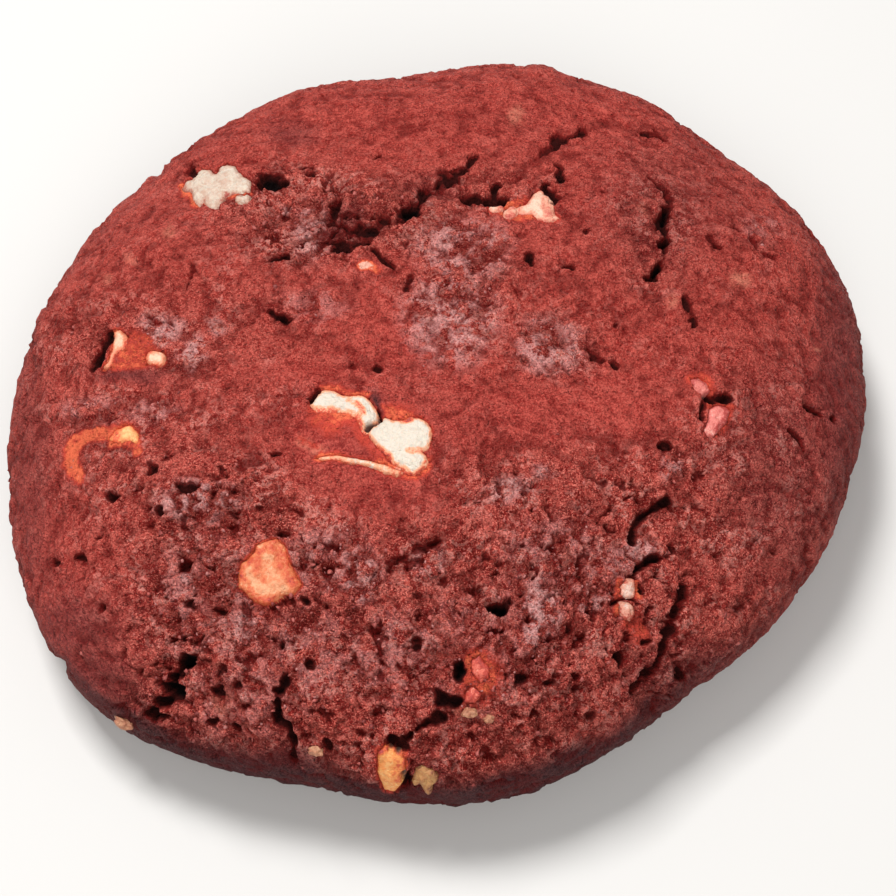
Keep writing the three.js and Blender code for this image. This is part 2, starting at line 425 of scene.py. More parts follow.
dough = new_piece("red_dough", np.zeros((len(around), 3)), triangles)
keep_values(dough.data, "around", around)
keep_values(dough.data, "down", downs[ring_number])
keep_values(dough.data, "reach", reach[ring_number])
run_tree(dough, dome_tree(), DOME)

# The CAD model stands with the middle of its box over the origin, so the dome is put there too.
points = points_of(dough.data)
cad_low, cad_high = (np.array(corner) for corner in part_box("dough"))
shift = (cad_low + cad_high - points.min(0) - points.max(0)) / 2
shift[2] = 0
place_points(dough.data, points + shift)
print("dome moved by", (shift / MM).round(2), "mm to stand where the CAD dough stands")


# %% [markdown]
# ## What the oven did to the top
#
# The tears, holes, bare chocolate and rough places of this cookie are its own, so they can't
# come from a rule or from noise. Each was noted in the photograph: a tear as a line with a
# width, a hole as an oval, a bare place as an outline. `gap` measures how far every point of
# the dough is from such a mark, as the camera sees it, and the marks are then pressed into the
# surface along its own normal. They fade where the surface turns away from the camera, so that
# nothing runs down the unseen side in streaks.

# %% Measuring the distance to a mark
FAR = 30.0


def ease(value, low, high):
    """Rises smoothly from 0 at low to 1 at high."""
    t = np.clip((value - low) / (high - low), 0, 1)
    return t * t * (3 - 2 * t)


def gap(seen, line, width=0.0):
    """Distance in pixels to a mark: an open line has a width, and a line that returns to its
    first point is an outline, with negative distances inside."""
    line = np.array(line, float)
    near = np.all((seen > line.min(0) - FAR) & (seen < line.max(0) + FAR), axis=1)
    place = seen[near]
    least = np.full(len(place), FAR)
    inside = np.zeros(len(place), bool)
    for a, b in zip(line[:-1], line[1:]):
        along = np.clip((place - a) @ (b - a) / ((b - a) @ (b - a)), 0, 1)
        apart = np.linalg.norm(place - a - along[:, None] * (b - a), axis=1)
        least = np.minimum(least, apart)
        level = (place[:, 1] - a[1]) / (b[1] - a[1]) if a[1] != b[1] else 0
        crosses = (a[1] > place[:, 1]) != (b[1] > place[:, 1])
        inside ^= crosses & (place[:, 0] < a[0] + level * (b[0] - a[0]))
    result = np.full(len(seen), FAR)
    if np.array_equal(line[0], line[-1]):
        result[near] = np.where(inside, -least, least)
    else:
        result[near] = least - width / 2
    return result


def oval_share(seen, x, y, half_wide, half_high):
    """0 in the middle of an oval, 1 on its outline, more outside."""
    return np.hypot((seen[:, 0] - x) / half_wide, (seen[:, 1] - y) / half_high)


WANDER_SEED = 2
noise.seed_set(WANDER_SEED)


def wander(points, size, reach):
    """A small wavering shift for each point, so that no mark has a ruler's edge."""
    shifts = [noise.turbulence_vector(Vector(p / (size * MM)), 3, False)[:2] for p in points]
    return reach * np.array(shifts)


# %% Tears: width in pixels, depth in mm, and the line of each
TEARS = [
    # the long tear across the back, with its branches
    (6, 0.6, [(479, 154), (468, 164)]),
    (12, 0.7, [(468, 164), (445, 180), (428, 190), (418, 204), (405, 212)]),
    (11, 0.7, [(405, 212), (390, 208), (380, 222), (366, 240), (345, 248), (332, 243)]),
    (10, 0.7, [(338, 201), (330, 215), (345, 226), (372, 225)]),
    (8, 0.6, [(326, 236), (340, 218), (352, 212), (362, 222)]),
    (24, 0.3, [(322, 240), (345, 230), (366, 224)]),
    (5, 0.6, [(372, 249), (385, 262), (395, 270)]),
    (7, 0.9, [(268, 312), (275, 317), (282, 321)]),
    (4, 0.5, [(411, 279), (405, 287)]),
    # behind the chunk at the back
    (7, 0.9, [(463, 199), (478, 202), (495, 201), (505, 199)]),
    (6, 0.8, [(494, 200), (495, 191), (499, 184)]),
    (7, 1.0, [(549, 184), (548, 191), (553, 198)]),
    (8, 0.7, [(553, 140), (570, 137), (587, 131)]),
    (4, 0.4, [(555, 141), (545, 148), (535, 155)]),
    (6, 0.5, [(641, 134), (655, 133), (666, 139)]),
    # the tear at the right, and small ones round it
    (6, 0.5, [(650, 177), (655, 184), (663, 190), (668, 200), (671, 206)]),
    (8, 1.2, [(668, 206), (662, 222), (666, 238), (664, 252), (657, 268), (652, 277), (643, 277)]),
    (5, 0.6, [(683, 299), (690, 307), (697, 320)]),
    (4, 0.4, [(706, 238), (712, 244), (720, 247)]),
    (5, 0.25, [(735, 225), (750, 236), (762, 250), (775, 257)]),
    (6, 0.6, [(591, 351), (597, 355), (605, 358), (617, 366)]),
    (5, 0.6, [(806, 406), (820, 414), (832, 417)]),
    (6, 0.5, [(789, 429), (797, 437), (803, 449)]),
    (8, 0.8, [(704, 400), (714, 401), (722, 399), (729, 398)]),
    (4, 0.6, [(702, 405), (702, 418)]),
    # the front right, down to the split in the rim
    (8, 0.9, [(668, 500), (655, 510), (642, 517)]),
    (6, 0.7, [(642, 517), (636, 528), (634, 540)]),
    (8, 0.9, [(672, 553), (658, 560), (645, 562), (636, 572)]),
    (11, 0.75, [(684, 592), (680, 604), (672, 620), (668, 636)]),
    (9, 0.7, [(668, 636), (661, 652), (654, 664), (645, 677), (634, 692)]),
    (3, 0.5, [(614, 601), (622, 599), (630, 598), (635, 605)]),
    # the front
    (8, 0.9, [(287, 678), (281, 695), (276, 712), (277, 722), (289, 731), (293, 745)]),
    (6, 0.7, [(293, 745), (292, 760)]),
    (9, 0.9, [(433, 690), (443, 700), (458, 704)]),
    (6, 0.6, [(405, 742), (414, 732), (426, 725)]),
    (9, 0.4, [(449, 541), (430, 545), (405, 556), (390, 562)]),
    (3, 0.25, [(191, 262), (190, 290)]),
    (7, 1.0, [(108, 333), (104, 345), (99, 355), (92, 368)]),
    # the crack between the two halves of the middle chunk
    (4, 1.1, [(368, 431), (374, 426), (378, 421), (378, 412)]),
]

# %% Holes: x and y of the middle, half width and half height, in pixels
HOLES = [
    # back
    (272, 180, 15, 8), (338, 201, 6, 5), (372, 225, 13, 6), (339, 247, 9, 7), (413, 207, 16, 9),
    (311, 170, 6, 4), (378, 154, 4, 3), (282, 256, 10, 4), (190, 289, 2, 3),
    (530, 258, 4, 9), (585, 234, 4, 4), (564, 265, 9, 2), (601, 190, 3, 3), (614, 323, 2, 3),
    (356, 366, 3, 2), (378, 369, 6, 4), (559, 173, 6, 9), (193, 171, 4, 5),
    # left
    (272, 453, 6, 2), (152, 468, 5, 5), (111, 499, 5, 5), (101, 534, 3, 4), (165, 548, 2, 3),
    (187, 563, 3, 3), (58, 565, 4, 3), (76, 558, 7, 2), (185, 489, 7, 4), (214, 492, 4, 3),
    (232, 493, 4, 5), (233, 514, 3, 3), (193, 513, 5, 3), (162, 509, 3, 6), (221, 473, 2, 4),
    (103, 606, 6, 3), (187, 604, 5, 4), (170, 608, 5, 3), (224, 613, 8, 3), (100, 347, 4, 6),
    # front left
    (259, 505, 4, 3), (278, 534, 5, 3), (346, 586, 4, 2), (310, 604, 7, 6), (182, 639, 4, 4),
    (180, 659, 11, 7), (169, 690, 8, 15), (160, 704, 8, 6), (176, 674, 5, 5), (149, 719, 7, 6),
    (220, 689, 4, 7), (219, 668, 4, 4), (236, 686, 4, 4), (215, 723, 4, 4), (237, 729, 3, 6),
    (326, 749, 4, 5), (280, 647, 4, 7), (312, 664, 4, 5),
    # front
    (417, 596, 4, 4), (499, 608, 12, 8), (565, 627, 4, 3), (418, 648, 6, 6), (397, 665, 3, 2),
    (460, 674, 6, 10), (523, 676, 7, 5), (551, 684, 6, 3), (578, 673, 4, 2), (537, 715, 6, 4),
    (588, 716, 5, 3), (437, 720, 8, 5), (412, 737, 4, 7), (388, 743, 8, 5), (405, 747, 9, 4),
    (407, 781, 7, 7), (396, 518, 4, 3),
    # right and front right
    (509, 492, 2, 3), (526, 492, 2, 2), (461, 494, 3, 3), (637, 585, 4, 5), (645, 613, 3, 5),
    (619, 659, 6, 7), (660, 463, 3, 3), (685, 476, 3, 4), (684, 510, 4, 3), (699, 474, 4, 2),
    (668, 444, 6, 3), (681, 678, 7, 5), (662, 697, 6, 3), (642, 640, 6, 4), (314, 393, 4, 7),
]

# %% Zones: middle, half width, half height, and how much
ROUGH_ZONES = [
    (300, 640, 190, 110, 1.0), (480, 640, 170, 110, 1.0), (230, 530, 110, 60, 0.8),
    (160, 470, 90, 60, 0.5), (620, 620, 80, 110, 0.8), (430, 750, 170, 50, 0.8),
    (190, 700, 70, 60, 1.0), (310, 215, 75, 40, 1.0), (410, 215, 50, 35, 0.7),
    (480, 190, 60, 25, 0.4), (465, 285, 50, 60, 0.5), (550, 350, 40, 30, 0.5),
    (690, 520, 70, 90, 0.55), (755, 500, 70, 110, 0.45), (130, 350, 100, 50, 0.45),
    (655, 230, 35, 60, 0.4), (590, 510, 110, 60, 0.6), (500, 500, 60, 40, 0.6),
    (110, 420, 80, 60, 0.35), (240, 340, 90, 60, 0.3), (720, 620, 60, 60, 0.5),
]
SMOOTH_ZONES = [
    (85, 650, 55, 65, 0.8), (125, 378, 45, 8, 1.0), (380, 495, 90, 22, 0.5),
    (370, 340, 120, 30, 0.3), (590, 410, 110, 40, 0.3), (440, 110, 260, 40, 0.3),
    (340, 440, 40, 25, 0.8), (290, 372, 70, 14, 0.6),
]
SUGAR_ZONES = [
    (199, 501, 40, 19, 0.9), (463, 250, 44, 30, 0.65), (450, 320, 44, 40, 0.7),
    (550, 345, 32, 26, 0.75), (315, 305, 32, 16, 0.25), (360, 575, 22, 26, 0.8),
    (434, 563, 14, 10, 0.8), (187, 576, 7, 11, 0.8), (246, 627, 13, 20, 0.8),
    (541, 615, 18, 42, 0.9), (672, 467, 11, 15, 0.8), (312, 230, 20, 30, 0.6),
    (160, 330, 22, 16, 0.8), (330, 560, 40, 30, 0.5), (300, 650, 60, 40, 0.3),
    (560, 560, 50, 40, 0.4), (480, 650, 60, 60, 0.25), (590, 600, 14, 12, 0.8),
    (210, 600, 60, 60, 0.35), (150, 410, 26, 12, 0.4), (196, 352, 12, 14, 0.8),
    (283, 203, 5, 4, 1.0), (430, 560, 20, 12, 0.7), (510, 490, 22, 14, 0.7),
    (190, 360, 14, 12, 0.6), (215, 325, 8, 7, 0.8), (92, 410, 30, 12, 0.4),
    (545, 470, 12, 8, 0.5), (400, 660, 60, 40, 0.35), (250, 700, 60, 40, 0.25),
    (640, 550, 16, 10, 0.8), (760, 230, 20, 14, 0.25), (615, 560, 30, 20, 0.4),
]
# painted shade, at the rims, in and round the tears, and on the lower shoulder
PAINTED_SHADE_ZONES = [
    (92, 692, 50, 46, 0.55), (75, 640, 46, 46, 0.45), (340, 222, 26, 20, 0.5),
    (430, 190, 30, 16, 0.3), (376, 402, 8, 12, 0.9), (352, 440, 26, 13, 0.2),
    (845, 400, 30, 170, 0.55), (790, 480, 60, 110, 0.35), (700, 690, 60, 40, 0.6),
    (130, 376, 34, 8, 0.6), (290, 135, 24, 12, 0.4), (30, 480, 22, 120, 0.35),
    (665, 210, 60, 60, 0.2),
]


def zone(seen, ovals, blur=0.45):
    """The strongest of several soft ovals at each place."""
    strongest = np.zeros(len(seen))
    for *oval, strength in ovals:
        share = oval_share(seen, *oval)
        strongest = np.maximum(strongest, strength * (1 - ease(share, 1 - blur, 1 + blur)))
    return strongest


# %% [markdown]
# ## Bare chocolate and the film over it
#
# A chunk shows where the hot dough has drawn back from it. Its edge there isn't the chunk's own
# edge but the dough's, so it is noted as a window in the dough. Round each window the dough
# thins out to a film that the chocolate shines through, from brick red over orange to peach.
# A film is noted as strokes with a value: 0 is bare chocolate, 1 is dough too thick to see
# through.

# %% Windows: a width and a line for a stripe, or 0 and the corners of an outline
WINDOWS = {
    "chunk_centre": [
        (0, [
            (311, 404), (312, 400), (317, 394), (321, 390), (334, 390), (340, 394), (350, 395),
            (358, 394), (366, 397), (371, 403), (376, 411), (378, 419), (374, 425), (368, 430),
            (365, 434), (361, 428), (357, 419), (351, 414), (341, 410), (330, 411), (318, 411),
        ]),
        (0, [
            (368, 432), (375, 426), (379, 420), (385, 418), (393, 421), (402, 421), (410, 417),
            (420, 418), (428, 422), (431, 428), (430, 438), (427, 447), (419, 450), (425, 455),
            (427, 462), (421, 468), (415, 472), (407, 472), (403, 466), (395, 463), (389, 457),
            (381, 449), (374, 441),
        ]),
        (0, [
            (318, 458), (330, 456), (344, 456), (360, 458), (374, 462), (388, 467),
            (402, 472), (396, 475), (384, 472), (372, 466), (358, 461), (344, 459), (328, 459),
        ]),
    ],
    "chunk_back_left": [
        (0, [
            (181, 187), (186, 181), (192, 179), (197, 172), (203, 169), (210, 169), (213, 174),
            (216, 174), (219, 168), (226, 164), (233, 166), (238, 172), (245, 177), (249, 182),
            (248, 190), (241, 192), (233, 192), (225, 195), (222, 200), (215, 207), (207, 203),
            (203, 199), (199, 203), (194, 197), (191, 190), (184, 190),
        ]),
        (6, [(240, 199), (246, 199)]),
    ],
    "chunk_back": [
        (0, [
            (530, 200), (535, 194), (542, 192), (549, 195), (553, 200), (552, 206), (553, 212),
            (559, 217), (553, 220), (547, 221), (540, 218), (533, 212), (522, 212), (520, 207),
            (526, 206),
        ]),
        (7, [(494, 207), (500, 206)]),
        (9, [(508, 214), (513, 210)]),
    ],
    "chunk_left": [
        (0, [
            (113, 332), (119, 331), (123, 336), (125, 343), (122, 349), (117, 350), (114, 357),
            (112, 363), (108, 367), (104, 366), (110, 360), (112, 350), (113, 341),
        ]),
        (11, [(151, 356), (159, 358)]),
    ],
    "chunk_left_front": [
        (0, [
            (109, 438), (114, 431), (121, 427), (129, 426), (135, 431), (139, 437), (137, 442),
            (131, 439), (123, 440), (114, 441),
        ]),
    ],
    "chunk_front_left": [
        (0, [
            (257, 545), (266, 542), (275, 540), (283, 545), (286, 553), (290, 565), (296, 578),
            (300, 585), (294, 592), (284, 593), (277, 599), (266, 603), (256, 600), (250, 594),
            (241, 586), (240, 572), (242, 563), (250, 556), (255, 550),
        ]),
    ],
    "chunk_front": [
        (0, [
            (379, 752), (386, 749), (394, 751), (402, 754), (405, 762), (405, 775), (402, 785),
            (394, 791), (385, 790), (379, 779), (378, 764),
        ]),
    ],
    "crumb_front": [
        (0, [
            (415, 778), (418, 771), (424, 769), (430, 772), (436, 777), (436, 782), (430, 786),
            (430, 791), (426, 792), (421, 786), (416, 788), (413, 784),
        ]),
    ],
    "chunk_right_back": [
        (0, [(692, 380), (699, 379), (706, 385), (709, 392), (703, 395), (697, 391)]),
    ],
    "chunk_right": [
        (0, [
            (711, 409), (717, 406), (724, 407), (729, 411), (727, 420), (721, 427), (714, 434),
            (709, 432), (706, 428), (710, 418),
        ]),
    ],
    "chunk_front_right": [
        (0, [(623, 586), (628, 580), (633, 580), (634, 589), (633, 596), (627, 597), (622, 594)]),
        (0, [(622, 603), (628, 603), (632, 607), (633, 613), (630, 619), (625, 618), (622, 611)]),
    ],
    "chunk_front_middle": [
        (0, [(473, 661), (480, 657), (488, 667), (488, 678), (481, 682), (474, 673)]),
        (0, [(466, 694), (472, 688), (479, 694), (474, 703), (466, 702)]),
    ],
}

# %% Film: how thick, how soft its edge in pixels, its width in pixels, and its line
FILMS = {
    "chunk_centre": [
        (0.60, 2.5, 3, [(316, 391), (322, 387), (336, 387), (350, 392), (368, 393)]),
        (0.48, 6, 5, [(314, 411), (325, 415), (335, 413), (345, 415), (353, 420)]),
        (0.70, 10, 12, [(318, 418), (332, 424)]),
        (0.76, 6, 5, [(354, 421), (361, 432), (368, 442), (378, 452), (388, 459)]),
        (0.60, 3, 9, [(388, 408), (391, 414), (400, 417), (408, 418)]),
        (0.75, 3, 4, [(301, 439), (310, 443), (318, 449), (322, 458)]),
        (0.50, 2, 4, [(350, 399), (356, 404), (361, 411), (362, 416)]),
        (0.55, 2, 4, [(408, 450), (420, 450)]),
        (0.40, 3, 7, [(378, 464), (388, 468), (398, 470), (404, 470)]),
        (0.35, 3, 4, [(316, 458), (332, 457), (350, 459)]),
        (0.62, 4, 5, [(402, 474), (413, 475), (424, 470), (429, 460)]),
    ],
    "chunk_left": [
        (0.60, 6, 18, [(129, 350), (136, 357), (142, 350)]),
        (0.66, 5, 8, [(127, 344), (132, 336), (141, 338), (147, 343)]),
        (0.64, 5, 6, [(116, 366), (130, 367), (143, 363)]),
        (0.08, 3, 3, [(116, 333), (119, 343), (113, 356), (107, 366)]),
        (0.08, 3, 5, [(151, 356), (159, 358)]),
    ],
    "chunk_left_front": [
        (0.50, 5, 11, [
            (76, 476), (71, 462), (71, 450), (76, 441), (88, 435), (102, 433), (114, 433),
        ]),
        (0.52, 4, 8, [(137, 440), (138, 450)]),
        (0.55, 3, 4, [(110, 444), (125, 444), (135, 446)]),
    ],
    "chunk_back": [
        (0.45, 3, 8, [(546, 203), (549, 214)]),
        (0.60, 4, 7, [(500, 203), (512, 205), (522, 202)]),
        (0.60, 4, 5, [(500, 212), (516, 218), (530, 216)]),
    ],
    "chunk_back_left": [
        (0.55, 3, 3, [(181, 186), (184, 192), (190, 194), (196, 204)]),
        (0.35, 3, 5, [(205, 197), (206, 200)]),
        (0.65, 3, 3, [(226, 196), (240, 195), (250, 192)]),
    ],
    "chunk_front_left": [
        (0.60, 5, 3, [(259, 550), (274, 544), (284, 554), (294, 582), (288, 590)]),
        (0.62, 5, 3, [(276, 597), (256, 597), (245, 586), (243, 572), (248, 560)]),
        (0.10, 5, 8, [(250, 572), (262, 590), (284, 588)]),
        (0.50, 5, 6, [(272, 546), (280, 560), (288, 574)]),
        (0.46, 4, 4, [(258, 558), (256, 572), (264, 580)]),
        (0.05, 3, 3, [(264, 556), (272, 556)]),
    ],
    "chunk_front": [
        (0.45, 4, 8, [(399, 753), (401, 764), (396, 778)]),
        (0.65, 4, 4, [(378, 750), (392, 746), (406, 752), (408, 764)]),
    ],
    "crumb_front": [],
    "chunk_right_back": [
        (0.70, 5, 5, [(690, 378), (700, 376), (710, 386), (711, 394)]),
    ],
    "chunk_right": [
        (0.62, 3, 6, [(726, 408), (726, 418), (718, 430)]),
        (0.72, 4, 4, [(708, 406), (718, 402), (730, 407)]),
    ],
    "chunk_front_right": [
        (0.74, 8, 12, [(632, 622), (640, 628), (640, 636)]),
        (0.55, 3, 4, [(636, 582), (637, 596)]),
        (0.62, 4, 4, [(620, 582), (618, 594), (619, 612)]),
    ],
    "chunk_front_middle": [
        (0.62, 9, 16, [(476, 660), (483, 676), (472, 698)]),
        (0.45, 4, 4, [(476, 664), (482, 672)]),
        (0.78, 6, 8, [(458, 694), (466, 708), (482, 704)]),
        (0.80, 3, 12, [(466, 692), (478, 700)]),
    ],
}

# %% Spots where chocolate only shines through: middle, half width, half height, film
SPOTS = [
    (366, 268, 9, 4, -0.6), (376, 270, 5, 3, 0.3), (484, 676, 24, 30, 0.74),
    (632, 600, 16, 26, 0.88), (716, 420, 16, 18, 0.88), (699, 386, 14, 11, 0.86),
    (404, 410, 16, 10, 0.80), (352, 436, 28, 16, 0.90),
]
RIM_FILM = {
    "chunk_centre": 0.78, "chunk_left": 0.66, "chunk_left_front": 0.60, "chunk_back": 0.74,
    "chunk_front": 0.74, "chunk_front_left": 0.60, "chunk_front_middle": 0.76,
}
THICK_RIM = 0.88

# %% Pale spots, where the dough is only lighter
PALE_SPOTS = [
    (168, 232, 7, 7, 0.7), (105, 279, 6, 6, 0.6), (130, 258, 5, 5, 0.5), (518, 116, 8, 10, 0.8),
    (740, 280, 10, 8, 0.9), (672, 300, 5, 5, 0.8), (645, 208, 5, 6, 0.6), (216, 325, 5, 4, 0.5),
    (221, 700, 10, 16, 0.5), (489, 718, 9, 6, 0.7), (816, 348, 3, 3, 1.0), (463, 712, 14, 8, 0.5),
    (305, 442, 7, 4, 0.8), (316, 450, 6, 6, 0.8),
]


def window_gap(seen, node):
    """Distance in pixels to a chunk's nearest window, negative inside it."""
    lines = [(line if width else line + line[:1], width) for width, line in WINDOWS[node]]
    return np.min([gap(seen, *line) for line in lines], axis=0)


def lay_film(film, seen, strokes):
    """Draws the film towards the value of each stroke."""
    for value, softness, width, line in strokes:
        film = film + (value - film) * (1 - ease(gap(seen, line, width), 0, softness))
    return film


# %% [markdown]
# ## More points where more happens
#
# A hole five pixels wide needs points two pixels apart, and the smooth shoulder doesn't. A
# Subdivision Surface would divide everything alike, so the web is divided by hand: once where
# the dough is rough or marked, and once more in a narrow band along the windows, whose outlines
# are the sharpest lines on the cookie. Edges are split only where both ends lie in such a place,
# and the faces between coarse and fine are made triangles again, which leaves no open seam.


# %% What the camera sees of the dough
SEEN_FROM = (0.08, 0.28)


def facing_camera(points, out):
    """1 where the surface looks straight at the camera, 0 at its edge, negative behind."""
    towards = camera_eye - points
    towards /= np.linalg.norm(towards, axis=1)[:, None]
    return np.sum(out * towards, axis=1)


def look_at_dough():
    """The dough's points, their directions outwards, their pixels, and how well each is seen."""
    points, out = points_of(dough.data), normals_of(dough.data)
    return points, out, photo_place(points), ease(facing_camera(points, out), *SEEN_FROM)


def mark_gap(seen):
    """Distance in pixels to the nearest tear or hole."""
    nearest = np.full(len(seen), FAR)
    for width, depth, line in TEARS:
        nearest = np.minimum(nearest, gap(seen, line, width))
    for x, y, half_wide, half_high in HOLES:
        share = oval_share(seen, x, y, half_wide, half_high)
        nearest = np.minimum(nearest, (share - 1) * min(half_wide, half_high))
    return nearest


# %% Refine the web
def split_edges(mesh, wanted):
    """Halves every edge whose two ends are both wanted."""
    form = bmesh.new()
    form.from_mesh(mesh)
    edges = [edge for edge in form.edges if all(wanted[v.index] for v in edge.verts)]
    bmesh.ops.subdivide_edges(form, edges=edges, cuts=1, use_grid_fill=True)
    bmesh.ops.triangulate(form, faces=[face for face in form.faces if len(face.verts) > 3])
    form.to_mesh(mesh)
    form.free()


MARK_BAND = 5
ROUGH_ENOUGH = 0.55
WINDOW_BAND = 3.5

points, out, seen, facing = look_at_dough()
busy = (mark_gap(seen) < MARK_BAND) | (zone(seen, ROUGH_ZONES) > ROUGH_ENOUGH)
for node in WINDOWS:
    busy |= window_gap(seen, node) < MARK_BAND
split_edges(dough.data, busy & (facing > 0))
print("after the rough places:", len(dough.data.polygons), "triangles")

points, out, seen, facing = look_at_dough()
window_edge = np.full(len(seen), False)
for node in WINDOWS:
    window_edge |= np.abs(window_gap(seen, node)) < WINDOW_BAND
split_edges(dough.data, window_edge & (facing > 0))
print("after the windows' outlines:", len(dough.data.polygons), "triangles")

# %% [markdown]
# ## Pressing the marks in
#
# Every point now gets a depth in millimetres: from the tears, the holes, the windows, and a few
# broad hollows that the dome's rule doesn't know. The plain dome is kept first, as a tree that
# rays can be shot at, because the chunks will be laid on it. The same numbers are written to the
# mesh as attributes. Later the material reads them, so that shade is painted into a hole and a
# window's rim is thin exactly where the shape says so.

# %% Broad hollows and rim steps: middle, half width, half height, mm outwards
BROAD_SHAPES = [
    (300, 214, 62, 36, -0.55), (405, 214, 45, 26, -0.35), (172, 690, 34, 44, -0.5),
    (640, 540, 40, 60, -0.3), (455, 300, 60, 60, 0.25), (200, 498, 50, 26, 0.15),
    (440, 470, 110, 26, -0.15), (470, 735, 120, 30, -0.2), (125, 372, 50, 12, 0.25),
]
RIM_SHAPES = [
    (545, 68, 22, 9, 0.45), (518, 72, 9, 9, -0.3), (157, 170, 8, 8, -0.6), (30, 367, 8, 10, -0.4),
    (58, 668, 10, 12, -0.7), (652, 704, 18, 13, -0.9), (700, 690, 14, 14, -0.3),
]
RIM_FROM = (-0.5, -0.15)


def broad_shape(seen, shapes):
    """Height in mm of soft ovals, added up."""
    height = np.zeros(len(seen))
    for *oval, rise in shapes:
        height += rise * (1 - ease(oval_share(seen, *oval), 0.2, 1.2))
    return height


points, out, seen, facing = look_at_dough()
plain_dome = BVHTree.FromPolygons(points.tolist(), [tuple(p.vertices) for p in dough.data.polygons])
near_rim = ease(facing_camera(points, out), *RIM_FROM)
height = broad_shape(seen, BROAD_SHAPES) * facing + broad_shape(seen, RIM_SHAPES) * near_rim
print("broad hollows and swellings from", height.min().round(2), "to", height.max().round(2), "mm")

# %% Depth of tears and holes
WANDER_REACH = 5.0
WANDER_SIZE = 2.6
RAGGED = [(1.3, 6.5), (0.6, 4.5)]
HOLE_RAGGED = 1.1
BRIDGE_SIZE = 1.1
BRIDGE_IN_TEAR, BRIDGE_IN_HOLE = 0.5, 0.3
WIDE_TEAR = 10
HOLE_SLOPE, HOLE_DEEPEST = 1.5, 1.5
LIP = 0.09
LIP_WIDTH = 3.5


def noise_at(points, size):
    return np.array([noise.noise(Vector(p / (size * MM))) for p in points])


def ragged_edge(points):
    """Pixels by which the edge of a mark is torn in or out."""
    return sum(reach * noise_at(points, size) for size, reach in RAGGED)


def bridges(points):
    """Where crumbs still span a tear, from 0 to 1."""
    return ease(noise_at(points, BRIDGE_SIZE), -0.05, 0.35)


def tear_depth(seen, ragged, bridge):
    """Depth in mm of the tears and holes at each place, the deepest where they cross. A bridge
    of 1 leaves half of the dough standing in a wide tear, and less in a narrow one."""
    depth = np.zeros(len(seen))
    for width, deepest, line in TEARS:
        torn = min(1, width / WIDE_TEAR)
        profile = 1 - ease(gap(seen, line, width) + torn * ragged, -0.45 * width, 1.5)
        depth = np.maximum(depth, deepest * profile * (1 - BRIDGE_IN_TEAR * torn * bridge))
    for x, y, half_wide, half_high in HOLES:
        size = math.sqrt(half_wide * half_high)
        share = oval_share(seen, x, y, half_wide, half_high) + HOLE_RAGGED * ragged / size
        deepest = min(HOLE_SLOPE * size * PIXEL / MM, HOLE_DEEPEST)
        profile = 1 - ease(share, 0.3, 1.25)
        depth = np.maximum(depth, deepest * profile * (1 - BRIDGE_IN_HOLE * bridge))
    return depth


wavering = wander(points, WANDER_SIZE, WANDER_REACH)
depth = facing * tear_depth(seen + wavering, ragged_edge(points), bridges(points))
from_lip = np.abs(mark_gap(seen + wavering) - LIP_WIDTH)
lips = LIP * (1 - ease(from_lip, 0, LIP_WIDTH)) * (depth < 0.1)
height += lips * facing - depth
print(len(TEARS), "tears and", len(HOLES), "holes, the deepest", depth.max().round(2), "mm")

# %% Film and windows
WINDOW_DEPTH = 1.2
FILM_WANDER, WINDOW_WANDER = 0.6, 0.35

film = np.ones(len(seen))
for x, y, half_wide, half_high, value in SPOTS:
    share = oval_share(seen + wavering, x, y, half_wide, half_high)
    film += (value - film) * (1 - ease(share, 0.4, 1.4))
open_share = np.zeros(len(seen))
for node in WINDOWS:
    film = lay_film(film, seen + FILM_WANDER * wavering, FILMS[node])
    from_window = window_gap(seen + WINDOW_WANDER * wavering, node)
    rim_film = RIM_FILM.get(node, THICK_RIM)
    film = np.minimum(film, rim_film + (1 - rim_film) * ease(from_window, 1.5, 5.0))
    open_share = np.maximum(open_share, 1 - ease(from_window, -1.0, 2.0))
height -= WINDOW_DEPTH * open_share * facing
film = 1 - (1 - film) * facing
print("windows take", round(100 * open_share.mean(), 1), "% of the points")

# %% How crumbly, and how porous: everywhere, more if unseen, if rough, if smooth, least, most
CRUMBLY = (0.52, 0.1, 0.62, -0.3, 0.1, 1.1)
POROUS = (0.35, 0.15, 0.9, -0.3, 0.0, 1.0)
ZONE_BLUR = 0.7

rough = zone(seen + wavering, ROUGH_ZONES, ZONE_BLUR) * facing
smooth = zone(seen + wavering, SMOOTH_ZONES, ZONE_BLUR) * facing
sugar = zone(seen + wavering, SUGAR_ZONES) * facing
unseen = (1 - facing) * ease(points[:, 2], 0.5 * MM, 3 * MM)


def amount(everywhere, if_unseen, if_rough, if_smooth, least, most):
    total = everywhere + if_unseen * unseen + if_rough * rough + if_smooth * smooth
    return np.clip(total, least, most)


crumb = (amount(*CRUMBLY) + 0.25 * sugar) * (1 - 0.8 * open_share)
crumb *= 0.5 + 0.5 * np.clip(film, 0, 1)
pores = amount(*POROUS) * (1 - open_share) * (film > 0.8)
print("crumb from", crumb.min().round(2), "to", crumb.max().round(2))

# %% Pale spots, and painted shade: the shade zones, and the lower wall darker by its height, baked all round and painted shade most of all in front
WALL_TOP = (7.8, 10.6)
WALL_SHADE_FRONT = (-36, -18)
WALL_BAKED_SHARE = 0.3
WALL_WAVE, WALL_WAVE_SIZE = 1.5, 5.0

pale = zone(seen + wavering, PALE_SPOTS) * facing
# painted shade from the zones, then the lower wall: baked darker all round, with painted shade
# added in front
shade_and_bake = zone(seen + wavering, PAINTED_SHADE_ZONES, ZONE_BLUR) * near_rim
level = points[:, 2] / MM + WALL_WAVE * noise_at(points, WALL_WAVE_SIZE)
front = 1 - ease(points[:, 1] / MM, *WALL_SHADE_FRONT)
shade_and_bake = np.maximum(shade_and_bake, (1 - ease(level, *WALL_TOP)) * (WALL_BAKED_SHARE + (1 - WALL_BAKED_SHARE) * front))

